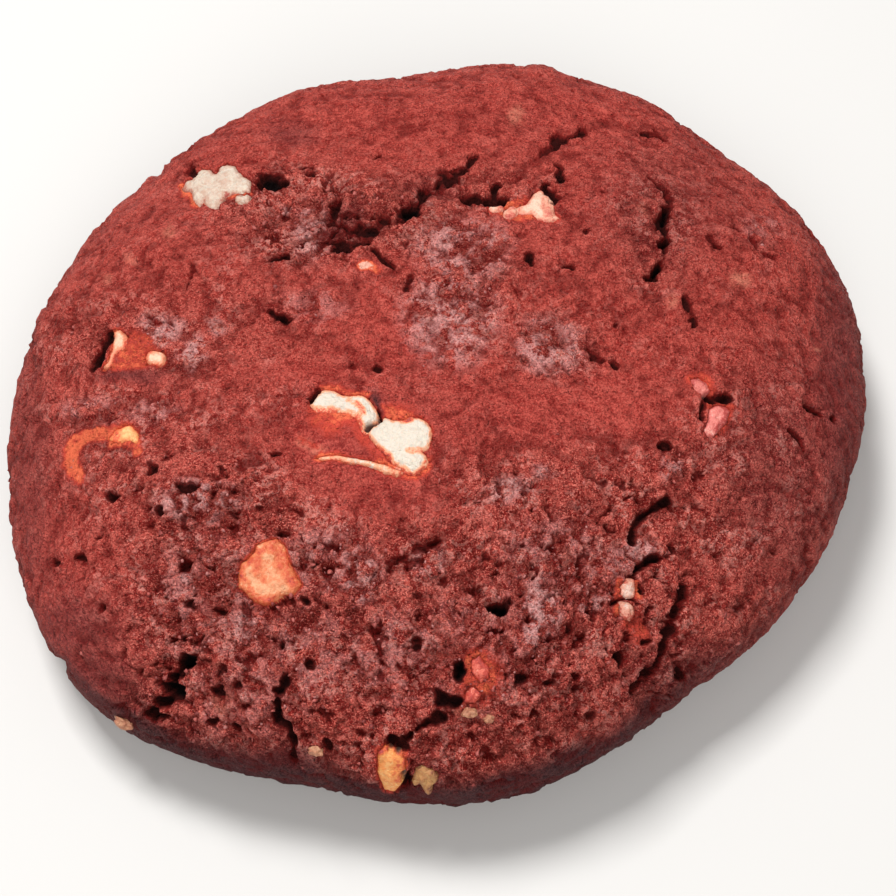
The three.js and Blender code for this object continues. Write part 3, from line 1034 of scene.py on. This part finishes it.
# %% Press the marks in, and keep the numbers on the mesh
points = points + out * height[:, None] * MM
place_points(dough.data, points)
marks = {
    "out": out, "unseen": unseen, "pale": pale, "shade_and_bake": shade_and_bake, "crumb": crumb, "pores": pores,
    "sugar": sugar, "film": film, "hollow": depth, "place": points / MM,
}
for name, values in marks.items():
    keep_values(dough.data, name, values)
print("kept on the dough:", ", ".join(marks))

# %% [markdown]
# ## The crumb
#
# Between its marks the dough is still far from smooth. Its surface is a crust over crumbs: swells
# and lumps of a few millimetres, granules of about one, and creases and pores between them.
# Those follow a rule and repeat everywhere, so they are a Geometry Nodes tree. It moves each
# point along the dome's own direction, as far as the attribute `crumb` allows there, so that one
# tree gives the crumbly front, the smoother back and the walls that the photograph doesn't show.
# It stores how far each point went, for the material. Both use the attribute `place`, which is
# where a point stood before the crumb grew, so that a granule's colour sits on that granule.

# %% Sizes of the crumb in mm
CRUMB = {
    "Swell size": 4.5,
    "Swell height": 0.15,
    "Lump size": 2.4,
    "Lump height": 0.5,
    "Granule size": 1.05,
    "Granule height": 0.44,
    "Crease size": 3.4,
    "Crease depth": 0.3,
    "Crack spacing": 9.0,
    "Crack depth": 0.7,
    "Pore size": 1.5,
    "Pore depth": 0.6,
}
GRANULE_BEND = (0.8, 2.0, 1.6)    # scale and detail of the noise, and its reach in mm
GRANULE_MIDDLE = 0.42             # distance from a granule's middle where it is level


# %% Tree of the crumb
def crumb_tree():
    tree, n, size = geometry_tree("crumb", CRUMB)
    crumb, pores, unseen = (attribute(n, name) for name in ("crumb", "pores", "unseen"))
    out = attribute(n, "out", "FLOAT_VECTOR")
    place = attribute(n, "place", "FLOAT_VECTOR")

    def share(label):
        return n.maths("DIVIDE", 1.0, size[label])

    def swing(value, height):
        return n.product(n.maths("MULTIPLY_ADD", value, 2.0, -1.0), height)

    swell = swing(n.noise(place, share("Swell size"), 2.0), size["Swell height"])

    # granules are raised cells, with half as large ones between them
    bent = n.bend(place, *GRANULE_BEND)
    granule = share("Granule size")
    large = n.maths("SUBTRACT", GRANULE_MIDDLE, n.cells(bent, granule))
    small = n.maths("SUBTRACT", GRANULE_MIDDLE, n.cells(bent, n.product(granule, 2.0)))
    patch = n.ease(n.noise(place, 0.2, 1.0), 0.38, 0.58, 0.3, 1.0)
    cobble = n.maths("MULTIPLY_ADD", small, 0.6, large)
    cobble = n.product(cobble, size["Granule height"], patch)

    # lumps, and creases where a slow noise crosses its middle
    lump = swing(n.noise(bent, share("Lump size"), 4.0, 0.62), size["Lump height"])
    level = n.maths("ABSOLUTE", swing(n.noise(bent, share("Crease size"), 2.0), 1.0))
    crease = n.product(n.ease(level, 0.09, 0.0), size["Crease depth"])
    crust = n.maths("SUBTRACT", n.maths("ADD", cobble, lump), crease)
    crust = n.product(crust, crumb)

    # cracks between large bowed cells, on the unseen sides only
    bowed = n.bend(place, 0.25, 3.0, 9.0)
    edge = n.cells(bowed, share("Crack spacing"), "DISTANCE_TO_EDGE")
    torn = n.ease(n.noise(place, 0.1, 1.0), 0.44, 0.6)
    crack = n.product(n.ease(edge, 0.07, 0.0), torn, unseen)
    crust = n.maths("SUBTRACT", crust, n.product(crack, size["Crack depth"]))

    pore = n.product(n.ease(n.noise(bent, share("Pore size"), 2.5), 0.58, 0.68), pores)
    relief = n.maths("ADD", crust, swell)
    rise = n.maths("SUBTRACT", relief, n.product(pore, size["Pore depth"]))

    offset = n.vector("SCALE", out, scale=n.product(rise, MM))
    moved = n.add("GeometryNodeSetPosition", [size["Geometry"], None, None, offset])
    for name, value in {"relief": relief, "pore": pore, "cobble": cobble}.items():
        inputs = [moved, None, name, value]
        moved = n.add("GeometryNodeStoreNamedAttribute", inputs, data_type="FLOAT")
    end_tree(n, moved)
    return tree


run_tree(dough, crumb_tree(), CRUMB)
points = points_of(dough.data)
points[:, 2] = np.maximum(points[:, 2], 0)
place_points(dough.data, points)
print("crumb done, dough is", ((points.max(0) - points.min(0)) / MM).round(2), "mm")

# %% [markdown]
# ## The look of red dough
#
# The dough is matt and red-brown, redder and dustier at the back, with painted shade in mauve that
# darkens it towards the front. Close up it is a crust of tiny grains, with painted shade in dark
# red in the gaps between them. The material has the same three scales as the shape: tones over
# centimetres, mottling over millimetres, and grain of 0.3 mm, which is left to a bump because it is
# finer than the mesh. Painted shade darkens holes, pores and crevices, raised grains are lighter,
# partly drier crumb and partly painted highlight, loose crumb gets pale dust and painted glints,
# sugar turns it grey-pink and glossy with a painted highlight on raised grains, and where the film
# is thin the chocolate shines through in orange.


# %% Colours
def rgb(red, green, blue):
    """A shader's colour from the 0 to 255 of a colour picker."""
    parts = [c / 255 for c in (red, green, blue)]
    return tuple(((c + 0.055) / 1.055) ** 2.4 if c > 0.04 else c / 12.92 for c in parts) + (1.0,)


DOUGH_RED = rgb(164, 58, 50)
DOUGH_SALMON = rgb(200, 88, 76)
DOUGH_DEEP = rgb(132, 26, 22)
# painted shade towards the front
FRONT_SHADE_MAUVE = rgb(150, 66, 66)
# painted shade, also the baked darkening of the lower wall
SHADE_AND_BAKE_BROWN = rgb(60, 40, 44)
# dark grain, and painted shade in crevices, cracks and pores
DARK_GRAIN_AND_SHADE_RED = rgb(100, 12, 10)
# painted shade in holes, brown, then black where deepest
HOLLOW_SHADE_BROWN = rgb(56, 12, 9)
HOLLOW_SHADE_BLACK = rgb(14, 4, 4)
# pale sugar, with painted highlight
SUGAR_AND_GLINT_PINK = rgb(238, 178, 173)
# pale dust, with painted glints
DUST_AND_GLINT_PINK = rgb(228, 150, 138)
# painted glints
PAINTED_GLINT_RED = rgb(232, 128, 112)
PALE_DOUGH = rgb(214, 124, 102)
FILM_BRICK = rgb(192, 66, 52)
FILM_ORANGE = rgb(228, 106, 72)
FILM_PEACH = rgb(232, 168, 146)
BAKED_BASE = rgb(96, 38, 32)


# %% Material helpers
def new_material(name):
    """An empty material, its builder and its coordinates in mm."""
    material = bpy.data.materials.new(name)
    material.use_nodes = True
    material.node_tree.nodes.clear()
    n = Nodes(material.node_tree)
    place = n.add("ShaderNodeTexCoord", out="Object")
    return material, n, n.vector("SCALE", place, scale=1 / MM)


def stored(n, name):
    return n.add("ShaderNodeAttribute", out=2, attribute_name=name)


def bump(n, height, depth, normal=None):
    """A bump of a height of 0 to 1 that stands for a depth in mm."""
    inputs = {"Strength": 1.0, "Distance": depth * MM, "Height": height, "Normal": normal}
    return n.add("ShaderNodeBump", inputs)


def end_material(n, **inputs):
    shader = n.add("ShaderNodeBsdfPrincipled", {k.replace("_", " "): v for k, v in inputs.items()})
    output = n.tree.nodes.new("ShaderNodeOutputMaterial")
    n.tree.links.new(shader, output.inputs["Surface"])


# %% Material of the dough
def dough_material():
    material, n, object_place = new_material("red_dough")
    names = ("hollow", "crumb", "sugar", "pale", "shade_and_bake", "film", "relief", "pore", "cobble")
    hollow, crumb, sugar, pale, shade_and_bake, film, relief, pore, cobble = (stored(n, v) for v in names)
    y, z = n.split(object_place)[1:]
    place = n.add("ShaderNodeAttribute", out=1, attribute_name="place")

    # patterns from centimetres down to tenths of a millimetre
    tone = n.noise(place, 0.14, 3.0)
    blotch = n.noise(place, 0.55, 4.0, 0.68)
    mottle = n.noise(place, 1.3, 4.0, 0.7)
    grit = n.noise(place, 4.5, 3.0, 0.65)
    fine = n.noise(place, 7.5, 2.0, 0.6)
    torn = n.ease(n.noise(place, 0.45, 3.0, 0.7), 0.47, 0.66)
    edge = n.cells(n.bend(place, 0.9, 2.0, 2.4), 0.42, "DISTANCE_TO_EDGE")
    bent = n.bend(place, *GRANULE_BEND)
    granule, half_granule, speck = (
        n.cells(bent, parts / CRUMB["Granule size"], out=1) for parts in (1, 2, 4.2)
    )
    loose = n.ease(crumb, 0.35, 0.95)

    # coats: what is read, from where to where it comes in, how strong at most, colour, and where
    colour = DOUGH_RED
    for value, low, high, most, over, where in (
        (tone, 0.35, 0.65, 0.35, DOUGH_DEEP, None),
        # painted shade: mauve, darker towards the front
        (y, 0.0, -30.0, 0.3, FRONT_SHADE_MAUVE, None),
        (blotch, 0.48, 0.68, 0.7, DOUGH_SALMON, None),
        (blotch, 0.5, 0.34, 0.7, DOUGH_DEEP, None),
        (mottle, 0.5, 0.66, 0.75, DOUGH_SALMON, None),
        (mottle, 0.49, 0.34, 0.9, DOUGH_DEEP, None),
        (grit, 0.48, 0.66, 0.9, DOUGH_SALMON, None),
        (grit, 0.48, 0.34, 0.6, DARK_GRAIN_AND_SHADE_RED, None),
        (fine, 0.5, 0.68, 0.6, DOUGH_SALMON, None),
        (fine, 0.5, 0.32, 0.5, DOUGH_DEEP, None),
        # painted shade in crevices
        (relief, -0.05, -0.32, 0.6, DARK_GRAIN_AND_SHADE_RED, None),
        # raised places lighter: partly drier crumb, partly painted highlight
        (relief, 0.05, 0.3, 0.5, DOUGH_SALMON, None),
        # painted shade: dark lines along fine cracks where the dough is torn
        (edge, 0.11, 0.0, 0.55, DARK_GRAIN_AND_SHADE_RED, torn),
        (granule, 0.52, 0.75, 0.75, DOUGH_SALMON, loose),
        (granule, 0.48, 0.25, 0.35, DOUGH_DEEP, loose),
        (half_granule, 0.52, 0.75, 0.75, DOUGH_SALMON, loose),
        (half_granule, 0.48, 0.25, 0.45, DOUGH_DEEP, loose),
        (speck, 0.52, 0.75, 0.9, DOUGH_SALMON, loose),
        (speck, 0.48, 0.25, 0.75, DOUGH_DEEP, loose),
        # painted shade between granules
        (cobble, -0.02, -0.2, 0.5, DARK_GRAIN_AND_SHADE_RED, loose),
    ):
        colour = n.coat(colour, over, value, low, high, most, where)

    # dust and painted glints on some grains, dark specks and painted glints on loose crumb, sugar
    # with a painted highlight on its raised grains, pale places, then painted shade with the baked
    # lower wall
    dust_and_glint = n.ease(n.noise(place, 0.28, 2.0), 0.44, 0.6, 0.1, 0.9)
    dust_and_glint = n.product(n.ease(grit, 0.4, 0.54), n.product(loose, dust_and_glint))
    patch = n.maths("MULTIPLY_ADD", granule, 0.35, n.noise(place, 0.8, 4.0, 0.7))
    raised = n.product(n.ease(grit, 0.3, 0.5), n.ease(relief, -0.35, 0.0))
    sparkle = n.product(sugar, n.ease(patch, 0.57, 0.73), raised)
    colour = n.coat(colour, DUST_AND_GLINT_PINK, half_granule, 0.54, 0.66, 0.85, dust_and_glint)
    colour = n.coat(colour, DARK_GRAIN_AND_SHADE_RED, fine, 0.43, 0.33, 0.6, loose)
    colour = n.coat(colour, PAINTED_GLINT_RED, fine, 0.55, 0.63, 0.95, loose)
    # sugar: paler grains, with painted highlight on the raised ones
    colour = n.tint(n.product(sparkle, 0.82), colour, SUGAR_AND_GLINT_PINK)
    colour = n.coat(colour, PALE_DOUGH, mottle, 0.3, 0.6, 1.0, pale)
    # painted shade, with the baked darkening of the lower wall
    colour = n.tint(n.product(shade_and_bake, 0.9), colour, SHADE_AND_BAKE_BROWN)
    colour = n.coat(colour, BAKED_BASE, z, 3.6, 0.4, 0.8)

    # the film over chocolate, uneven by mottle and grit, then painted shade in everything deep:
    # crevices, pores and holes
    uneven = n.maths("SUBTRACT", grit, 0.5)
    uneven = n.maths("MULTIPLY_ADD", n.maths("SUBTRACT", mottle, 0.5), 2.2, uneven)
    skin = n.maths("MULTIPLY_ADD", n.maths("SUBTRACT", 1.0, film), uneven, film)
    thick = n.ease(film, 0.55, 0.9, 0.15, 0.5)
    for value, low, high, most, over, where in (
        (skin, 0.97, 0.68, 1.0, FILM_BRICK, None),
        (skin, 0.74, 0.5, 1.0, FILM_ORANGE, None),
        (skin, 0.34, 0.14, 1.0, FILM_PEACH, None),
        # painted shade: crevices under thick film, pores, and holes, darkest where deepest
        (relief, 0.0, -0.2, 1.0, DARK_GRAIN_AND_SHADE_RED, thick),
        (pore, 0.1, 0.8, 0.9, DARK_GRAIN_AND_SHADE_RED, None),
        (hollow, 0.03, 0.2, 0.9, DARK_GRAIN_AND_SHADE_RED, None),
        (hollow, 0.2, 0.5, 1.0, HOLLOW_SHADE_BROWN, None),
        (hollow, 0.55, 1.1, 1.0, HOLLOW_SHADE_BLACK, None),
    ):
        colour = n.coat(colour, over, value, low, high, most, where)

    roughness = n.mix(n.ease(grit, 0.3, 0.7), 0.55, 0.82)
    roughness = n.mix(n.product(sparkle, 0.8), roughness, 0.4)
    roughness = n.mix(n.ease(hollow, 0.1, 0.5), roughness, 1.0)

    # bumps finer than the mesh, each with its depth in mm, and stronger where it is crumbly
    share = n.maths("MULTIPLY_ADD", crumb, 1.2, 0.3)
    grain = n.maths("SUBTRACT", 0.7, n.cells(n.bend(place, 2.2, 1.0, 0.6), 2.6))
    normal = bump(n, blotch, 0.6)
    for height, depth in ((mottle, 0.6), (grain, 0.22), (grit, 0.2)):
        normal = bump(n, n.product(height, share), depth, normal)
    end_material(n, Base_Color=colour, Roughness=roughness, Normal=normal, Specular_IOR_Level=0.1)
    return material


def finish_piece(piece, material):
    """Smooth faces, one material, and the piece's place among the CAD's bodies."""
    piece.data.materials.clear()
    piece.data.materials.append(material)
    piece.data.shade_smooth()
    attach(piece, "root")


red_dough = dough_material()
finish_piece(dough, red_dough)
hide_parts("dough")
print("dough material has", len(red_dough.node_tree.nodes), "nodes")

# %% [markdown]
# ## The chunks
#
# A chunk is a block of white chocolate that has softened in the oven: flat-sided once, and now
# with round corners. Most of it lies in the dough. Each is a closed web again, wider than its
# windows. Its top is laid on the plain dome by rays from the camera: just proud of the dough in
# the middle of a window, level with it at the window's edge, and well below it beyond. So the
# dough's edge and the chunk's top always meet along the window's outline. Its underside bulges
# down as deep as the CAD solid does.

# %% Sizes of a chunk
CHUNK_POWER = 3.5         # how square its outline is: 2 would be an oval
CHUNK_MARGIN = 7          # pixels that it reaches beyond its windows
CHUNK_STEP = 1.6          # pixels between rings
CHUNK_UNDER_RINGS = 7
CHUNK_TOP = (             # pixels outside the window's edge, and mm above the plain dome
    [-10, -4, 0, 1.5, 4, 7], [0.16, 0.1, -0.04, -0.25, -0.9, -1.7],
)
CHUNK_LUMPS = [(1.7, 0.16), (0.7, 0.14), (0.35, 0.08)]    # size and height in mm
GRAINY = {"crumb_front": 2.5, "chunk_back_left": 1.3, "chunk_front_left": 1.3}
CHUNK_SKIN = 1.8          # mm of dough over its edge
CHUNK_DEEP_SHARE = 0.85   # share of the CAD chunk's height that lies below that
CHUNK_CRACK = 0.8         # depth of a tear in chocolate, for 1 in dough
EDGE_FILM = 0.5


def photo_ray(place):
    """The direction from the camera through a place in the photograph."""
    x, y = (place - PHOTO_SIDE / 2) * SENSOR / LENS / PHOTO_SIDE
    direction = x * camera_right - y * camera_up - camera_back
    return Vector(direction).normalized()


def lay_on_dome(places):
    """Points and directions outwards of the plain dome, where the rays of the places meet it."""
    eye = Vector(camera_eye)
    hits = [plain_dome.ray_cast(eye, photo_ray(place)) for place in places]
    return [np.array([tuple(hit[part]) for hit in hits]) for part in (0, 1)]


def chunk_mesh(node, bare_film):
    """A closed lump of chocolate under the windows of one CAD node."""
    corners = np.array([place for width, line in WINDOWS[node] for place in line], float)
    low, high = corners.min(0) - CHUNK_MARGIN, corners.max(0) + CHUNK_MARGIN
    middle, half = (low + high) / 2, (high - low) / 2
    over = int(half.max() / CHUNK_STEP)
    under = CHUNK_UNDER_RINGS
    rings = [1] + [6 * k for k in range(1, over + 1)]
    rings += [6 * over * (under - k) // under for k in range(1, under)] + [1]
    around, number, triangles = ring_web(rings)

    share = np.where(number <= over, number / over, 1 - (number - over) / under)
    cosine, sine = np.cos(around), np.sin(around)
    reach = (np.abs(cosine) ** CHUNK_POWER + np.abs(sine) ** CHUNK_POWER) ** (-1 / CHUNK_POWER)
    places = middle + np.stack([cosine, -sine], 1) * (half * (share * reach)[:, None])
    points, out = lay_on_dome(places)
    mean_out = out.mean(0) / np.linalg.norm(out.mean(0))
    wavering = wander(points, WANDER_SIZE, WANDER_REACH)

    from_window = window_gap(places + WINDOW_WANDER * wavering, node)
    height = np.interp(from_window, *CHUNK_TOP)
    for size, rise in CHUNK_LUMPS:
        height += rise * GRAINY.get(node, 1) * noise_at(points, size)
    hollow = tear_depth(places + wavering, ragged_edge(points), bridges(points))
    hollow *= CHUNK_CRACK
    height -= hollow
    film = np.full(len(points), bare_film)
    film = lay_film(film, places + FILM_WANDER * wavering, FILMS[node])
    film = np.maximum(film, EDGE_FILM * ease(from_window, -4.5, 1.5))

    cad_low, cad_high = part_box(node)
    thickness = CHUNK_DEEP_SHARE * (cad_high[2] - cad_low[2]) / MM
    below = number > over
    deep = -(CHUNK_SKIN + thickness * (1 - share**2))
    height = np.where(below, deep, np.maximum(height, -CHUNK_SKIN))
    direction = np.where(below[:, None], mean_out, out)
    points = points + direction * height[:, None] * MM
    return points, triangles, film, hollow


# %% [markdown]
# White chocolate is waxy: light goes a little way in, so it gets some subsurface scattering and
# a soft gloss. Baking has tinted the chunks differently, cream in the middle of the cookie,
# orange at the left and pink at the right, so one function makes each tint from three colours,
# for the bare chocolate, a thin film and a thick one.

# %% Tints: film where bare, then bare, thin and thick colours
CREAM = rgb(212, 200, 184)
CHUNK_TINTS = {
    "chunk_centre": (0.0, CREAM, rgb(232, 164, 126), rgb(212, 88, 60)),
    "chunk_back_left": (0.17, rgb(208, 192, 174), rgb(192, 158, 138), rgb(168, 98, 80)),
    "chunk_back": (0.08, rgb(222, 188, 164), rgb(222, 150, 124), rgb(200, 98, 82)),
    "chunk_left": (0.1, rgb(232, 190, 160), rgb(226, 140, 104), rgb(206, 78, 52)),
    "chunk_left_front": (0.15, rgb(236, 184, 120), rgb(230, 146, 88), rgb(214, 88, 52)),
    "chunk_front_left": (0.22, rgb(226, 160, 118), rgb(214, 118, 74), rgb(200, 80, 46)),
    "chunk_front": (0.2, rgb(234, 176, 108), rgb(226, 140, 72), rgb(200, 84, 42)),
    "crumb_front": (0.2, rgb(198, 152, 92), rgb(172, 116, 68), rgb(120, 60, 44)),
    "chunk_right_back": (0.4, rgb(232, 170, 156), rgb(214, 118, 106), rgb(180, 74, 68)),
    "chunk_right": (0.3, rgb(234, 172, 156), rgb(216, 118, 108), rgb(178, 64, 58)),
    "chunk_front_right": (0.18, rgb(222, 192, 176), rgb(208, 140, 118), rgb(176, 72, 54)),
    "chunk_front_middle": (0.25, rgb(234, 172, 152), rgb(216, 104, 84), rgb(180, 58, 44)),
}
# painted shade in cracks of the chocolate
CHOCOLATE_CRACK_SHADE = rgb(92, 62, 52)


# %% Material of the chocolate
def chocolate_material(name, bare, thin, thick):
    material, n, place = new_material(name)
    film, hollow = stored(n, "film"), stored(n, "hollow")
    cloud = n.noise(place, 0.9, 3.0, 0.6)
    speck = n.noise(place, 3.5, 3.0, 0.7)
    blot = n.maths("ADD", n.maths("SUBTRACT", cloud, 0.5), n.maths("SUBTRACT", speck, 0.5))
    stain = n.maths("MULTIPLY_ADD", blot, n.maths("MULTIPLY_ADD", film, 2.2, 0.25), film)
    colour = n.coat(bare, thin, stain, 0.02, 0.34)
    colour = n.coat(colour, thick, stain, 0.34, 0.72)
    colour = n.coat(colour, DOUGH_RED, stain, 0.76, 0.92)
    colour = n.coat(colour, thin, speck, 0.56, 0.78, 0.35)
    # painted shade in tears through the chocolate
    colour = n.coat(colour, CHOCOLATE_CRACK_SHADE, hollow, 0.1, 0.6)
    roughness = n.mix(n.ease(speck, 0.3, 0.7), 0.42, 0.62)
    normal = bump(n, cloud, 0.4)
    normal = bump(n, speck, 0.18, normal)
    end_material(
        n, Base_Color=colour, Roughness=roughness, Normal=normal, Subsurface_Weight=0.15,
        Subsurface_Radius=(1.0, 0.6, 0.4), Subsurface_Scale=0.6 * MM,
    )
    return material


# %% Make the chunks
for node, (bare_film, *colours) in CHUNK_TINTS.items():
    points, triangles, film, hollow = chunk_mesh(node, bare_film)
    chunk = new_piece("white_" + node, points, triangles)
    keep_values(chunk.data, "film", film)
    keep_values(chunk.data, "hollow", hollow)
    finish_piece(chunk, chocolate_material("white_chocolate_" + node, *colours))
    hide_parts(node)
    print(chunk.name, len(triangles), "triangles")

# %% [markdown]
# ## Loose crumbs and sugar
#
# Crumbs have broken off and lie on the rough front, and grains of sugar glint in the pale
# patches. Both repeat by the hundred, which is what Geometry Nodes are for: points are strewn
# over the dough as densely as an attribute says, each gets a small ball of twenty faces, turned
# and sized at random from a fixed seed, and at the end the balls are pushed out of shape by
# noise, so that no two are alike.

# %% Sizes of what is strewn
CRUMBS = {
    "Per square metre": 500000.0, "Apart": 0.45, "Smallest": 0.08, "Largest": 0.26,
    "Uneven": 0.8, "Seed": 4,
}
SUGAR = {
    "Per square metre": 700000.0, "Apart": 0.3, "Smallest": 0.07, "Largest": 0.2,
    "Uneven": 0.3, "Seed": 9,
}


# %% Tree that strews balls over the dough
WHOLE_TURN = (6.28, 6.28, 6.28)
TONE_SEED = 77


def strew_tree(name, where, material):
    """Balls on the surface, as dense as the attribute `where`."""
    tree, n, size = geometry_tree(name, CRUMBS)
    inputs = {
        0: size["Geometry"], 2: n.product(size["Apart"], MM), 3: size["Per square metre"],
        5: attribute(n, where), 6: size["Seed"],
    }
    strewn = n.add("GeometryNodeDistributePointsOnFaces", inputs, distribute_method="POISSON")
    ball = n.add("GeometryNodeMeshIcoSphere", [MM, 1])

    def at_random(least, most):
        inputs = {0: least, 1: most, 8: size["Seed"]}
        return n.add("FunctionNodeRandomValue", inputs, data_type="FLOAT_VECTOR")

    turn = n.add("FunctionNodeEulerToRotation", [at_random((0, 0, 0), WHOLE_TURN)])
    smallest = n.add("ShaderNodeCombineXYZ", [size["Smallest"]] * 3)
    largest = n.add("ShaderNodeCombineXYZ", [size["Largest"]] * 3)
    inputs = [strewn, None, ball, None, None, turn, at_random(smallest, largest)]
    placed = n.add("GeometryNodeInstanceOnPoints", inputs)
    inputs = {2: 0.0, 3: 1.0, 8: TONE_SEED}
    tone = n.add("FunctionNodeRandomValue", inputs, out=1, data_type="FLOAT")
    toned = n.add(
        "GeometryNodeStoreNamedAttribute", [placed, None, "tone", tone], data_type="FLOAT",
        domain="INSTANCE",
    )
    real = n.add("GeometryNodeRealizeInstances", [toned])
    place = n.vector("SCALE", n.add("GeometryNodeInputPosition"), scale=1 / MM)
    offset = n.vector("SCALE", n.push(place, 2.5, 2.0), scale=n.product(size["Uneven"], MM))
    uneven = n.add("GeometryNodeSetPosition", [real, None, None, offset])
    end_tree(n, n.add("GeometryNodeSetMaterial", [uneven, None, material]))
    return tree


# %% Materials of crumbs and sugar
def crumb_material():
    material, n, place = new_material("loose_crumb")
    tone, grit = stored(n, "tone"), n.noise(place, 4.0, 2.0)
    colour = n.tint(tone, rgb(112, 34, 30), rgb(170, 84, 76))
    colour = n.coat(colour, DOUGH_SALMON, grit, 0.5, 0.75, 0.6)
    roughness = n.mix(grit, 0.5, 0.75)
    end_material(n, Base_Color=colour, Roughness=roughness, Normal=bump(n, grit, 0.1))
    return material


def sugar_material():
    material, n, place = new_material("sugar_grain")
    tone, grit = stored(n, "tone"), n.noise(place, 6.0, 1.0)
    colour = n.tint(tone, rgb(150, 80, 76), rgb(176, 112, 106))
    roughness = n.mix(grit, 0.5, 0.75)
    end_material(n, Base_Color=colour, Roughness=roughness, Normal=bump(n, grit, 0.04))
    return material


# %% Strew them
UNTOUCHED = 0.05


def strew(name, where, sizes, material):
    piece = bpy.data.objects.new(name, dough.data.copy())
    bpy.context.scene.collection.objects.link(piece)
    run_tree(piece, strew_tree(name, where, material), sizes)
    finish_piece(piece, material)
    print(name, len(piece.data.polygons), "triangles")


bare_dough = (open_share < UNTOUCHED) & (depth < UNTOUCHED)
keep_values(dough.data, "loose", rough**2 * bare_dough * (1 - shade_and_bake))
keep_values(dough.data, "sweet", sugar * bare_dough)
strew("loose_crumbs", "loose", CRUMBS, crumb_material())
strew("sugar_grains", "sweet", SUGAR, sugar_material())

# %% [markdown]
# A few tan bits of chocolate lie on the front edge. They are larger than crumbs and each is
# seen on its own, so they are set one by one: fine balls, squashed on to the dough and dented by
# noise.

# %% Tan bits: place in the photograph, half width and half height in mm
TAN_BITS = [
    (469, 713, 0.6, 0.35), (123, 722, 0.9, 0.5), (316, 751, 0.6, 0.4), (489, 719, 0.45, 0.3),
]
BIT_SUBDIVISIONS = 4
BIT_FLATTEN = 0.7
BIT_DENTS = 0.5
BIT_DENT_SCALE = 1.6
BIT_FILM = 0.25
TAN_TINTS = rgb(190, 138, 104), rgb(168, 106, 78), rgb(120, 60, 44)


def tan_bits():
    places = np.array([bit[:2] for bit in TAN_BITS], float)
    middles, outs = lay_on_dome(places)
    form = bmesh.new()
    for (x, y, half_wide, half_high), middle, out in zip(TAN_BITS, middles, outs):
        ball = bmesh.ops.create_icosphere(form, subdivisions=BIT_SUBDIVISIONS, radius=1)["verts"]
        upright = Vector(out).to_track_quat("Z", "Y")
        for corner in ball:
            dent = noise.noise(corner.co * BIT_DENT_SCALE + Vector((x, y, 0)))
            shape = Vector((half_wide, half_wide * BIT_FLATTEN, half_high)) * MM
            shape *= 1 + BIT_DENTS * dent
            corner.co = Vector(middle) + upright @ (corner.co * shape)
    mesh = bpy.data.meshes.new("tan_bits")
    form.to_mesh(mesh)
    form.free()
    return mesh


bits = bpy.data.objects.new("tan_bits", tan_bits())
bpy.context.scene.collection.objects.link(bits)
keep_values(bits.data, "film", np.full(len(bits.data.vertices), BIT_FILM))
finish_piece(bits, chocolate_material("tan_chocolate", *TAN_TINTS))
print("tan bits:", len(TAN_BITS))

# %% [markdown]
# ## Floor and light
#
# The photograph is lit softly from above and behind, a little from the left: the back of the
# cookie is bright, the tears have soft shadows, and the front wall falls off into the dark. One
# lamp behind gives that, a wider and weaker one in front opens the shadows, and the pale floor
# returns some light to the wall. The floor lies a hair under the cookie, so that the two faces
# don't flicker into each other.

# %% Floor
FLOOR_GAP = 0.02 * MM
FLOOR_HALF = 1.5
FLOOR_CORNERS = [(-1, -1, 0), (1, -1, 0), (1, 1, 0), (-1, 1, 0)]

corners = np.array(FLOOR_CORNERS, float) * FLOOR_HALF - (0, 0, FLOOR_GAP)
floor = new_piece("floor", corners, [(0, 1, 2), (0, 2, 3)])
floor_material, n, place = new_material("pale_floor")
floor_tone = n.tint(n.noise(place, 0.01, 2.0), rgb(202, 200, 197), rgb(210, 208, 205))
end_material(n, Base_Color=floor_tone, Roughness=0.8)
floor.data.materials.append(floor_material)
floor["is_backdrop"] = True

# %% Lamps: place in m, size in m, strength in W
LAMPS = {
    "key": ((-0.2, 0.26, 0.66), 0.24, 5.7),
    "fill": ((0.05, -0.6, 0.55), 0.6, 4.0),
}
SKY_STRENGTH = 0.32

for name, (where, across, watts) in LAMPS.items():
    lamp = bpy.data.objects.new(name, bpy.data.lights.new(name, "AREA"))
    lamp.data.size, lamp.data.energy = across, watts
    lamp.location = where
    lamp.rotation_euler = Vector(where).to_track_quat("Z", "Y").to_euler()
    bpy.context.scene.collection.objects.link(lamp)

world = bpy.data.worlds.new("studio")
world.use_nodes = True
sky = world.node_tree.nodes["Background"]
sky.inputs["Color"].default_value = (1, 1, 1, 1)
sky.inputs["Strength"].default_value = SKY_STRENGTH
bpy.context.scene.world = world
bpy.context.scene.view_settings.view_transform = "Standard"

# %% Size of the finished cookie, and the end
boxes = {"cad": cad_box, "visual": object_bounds()}
for name, (low, high) in boxes.items():
    print(name, "is", [round((b - a) / MM, 2) for a, b in zip(low, high)], "mm")
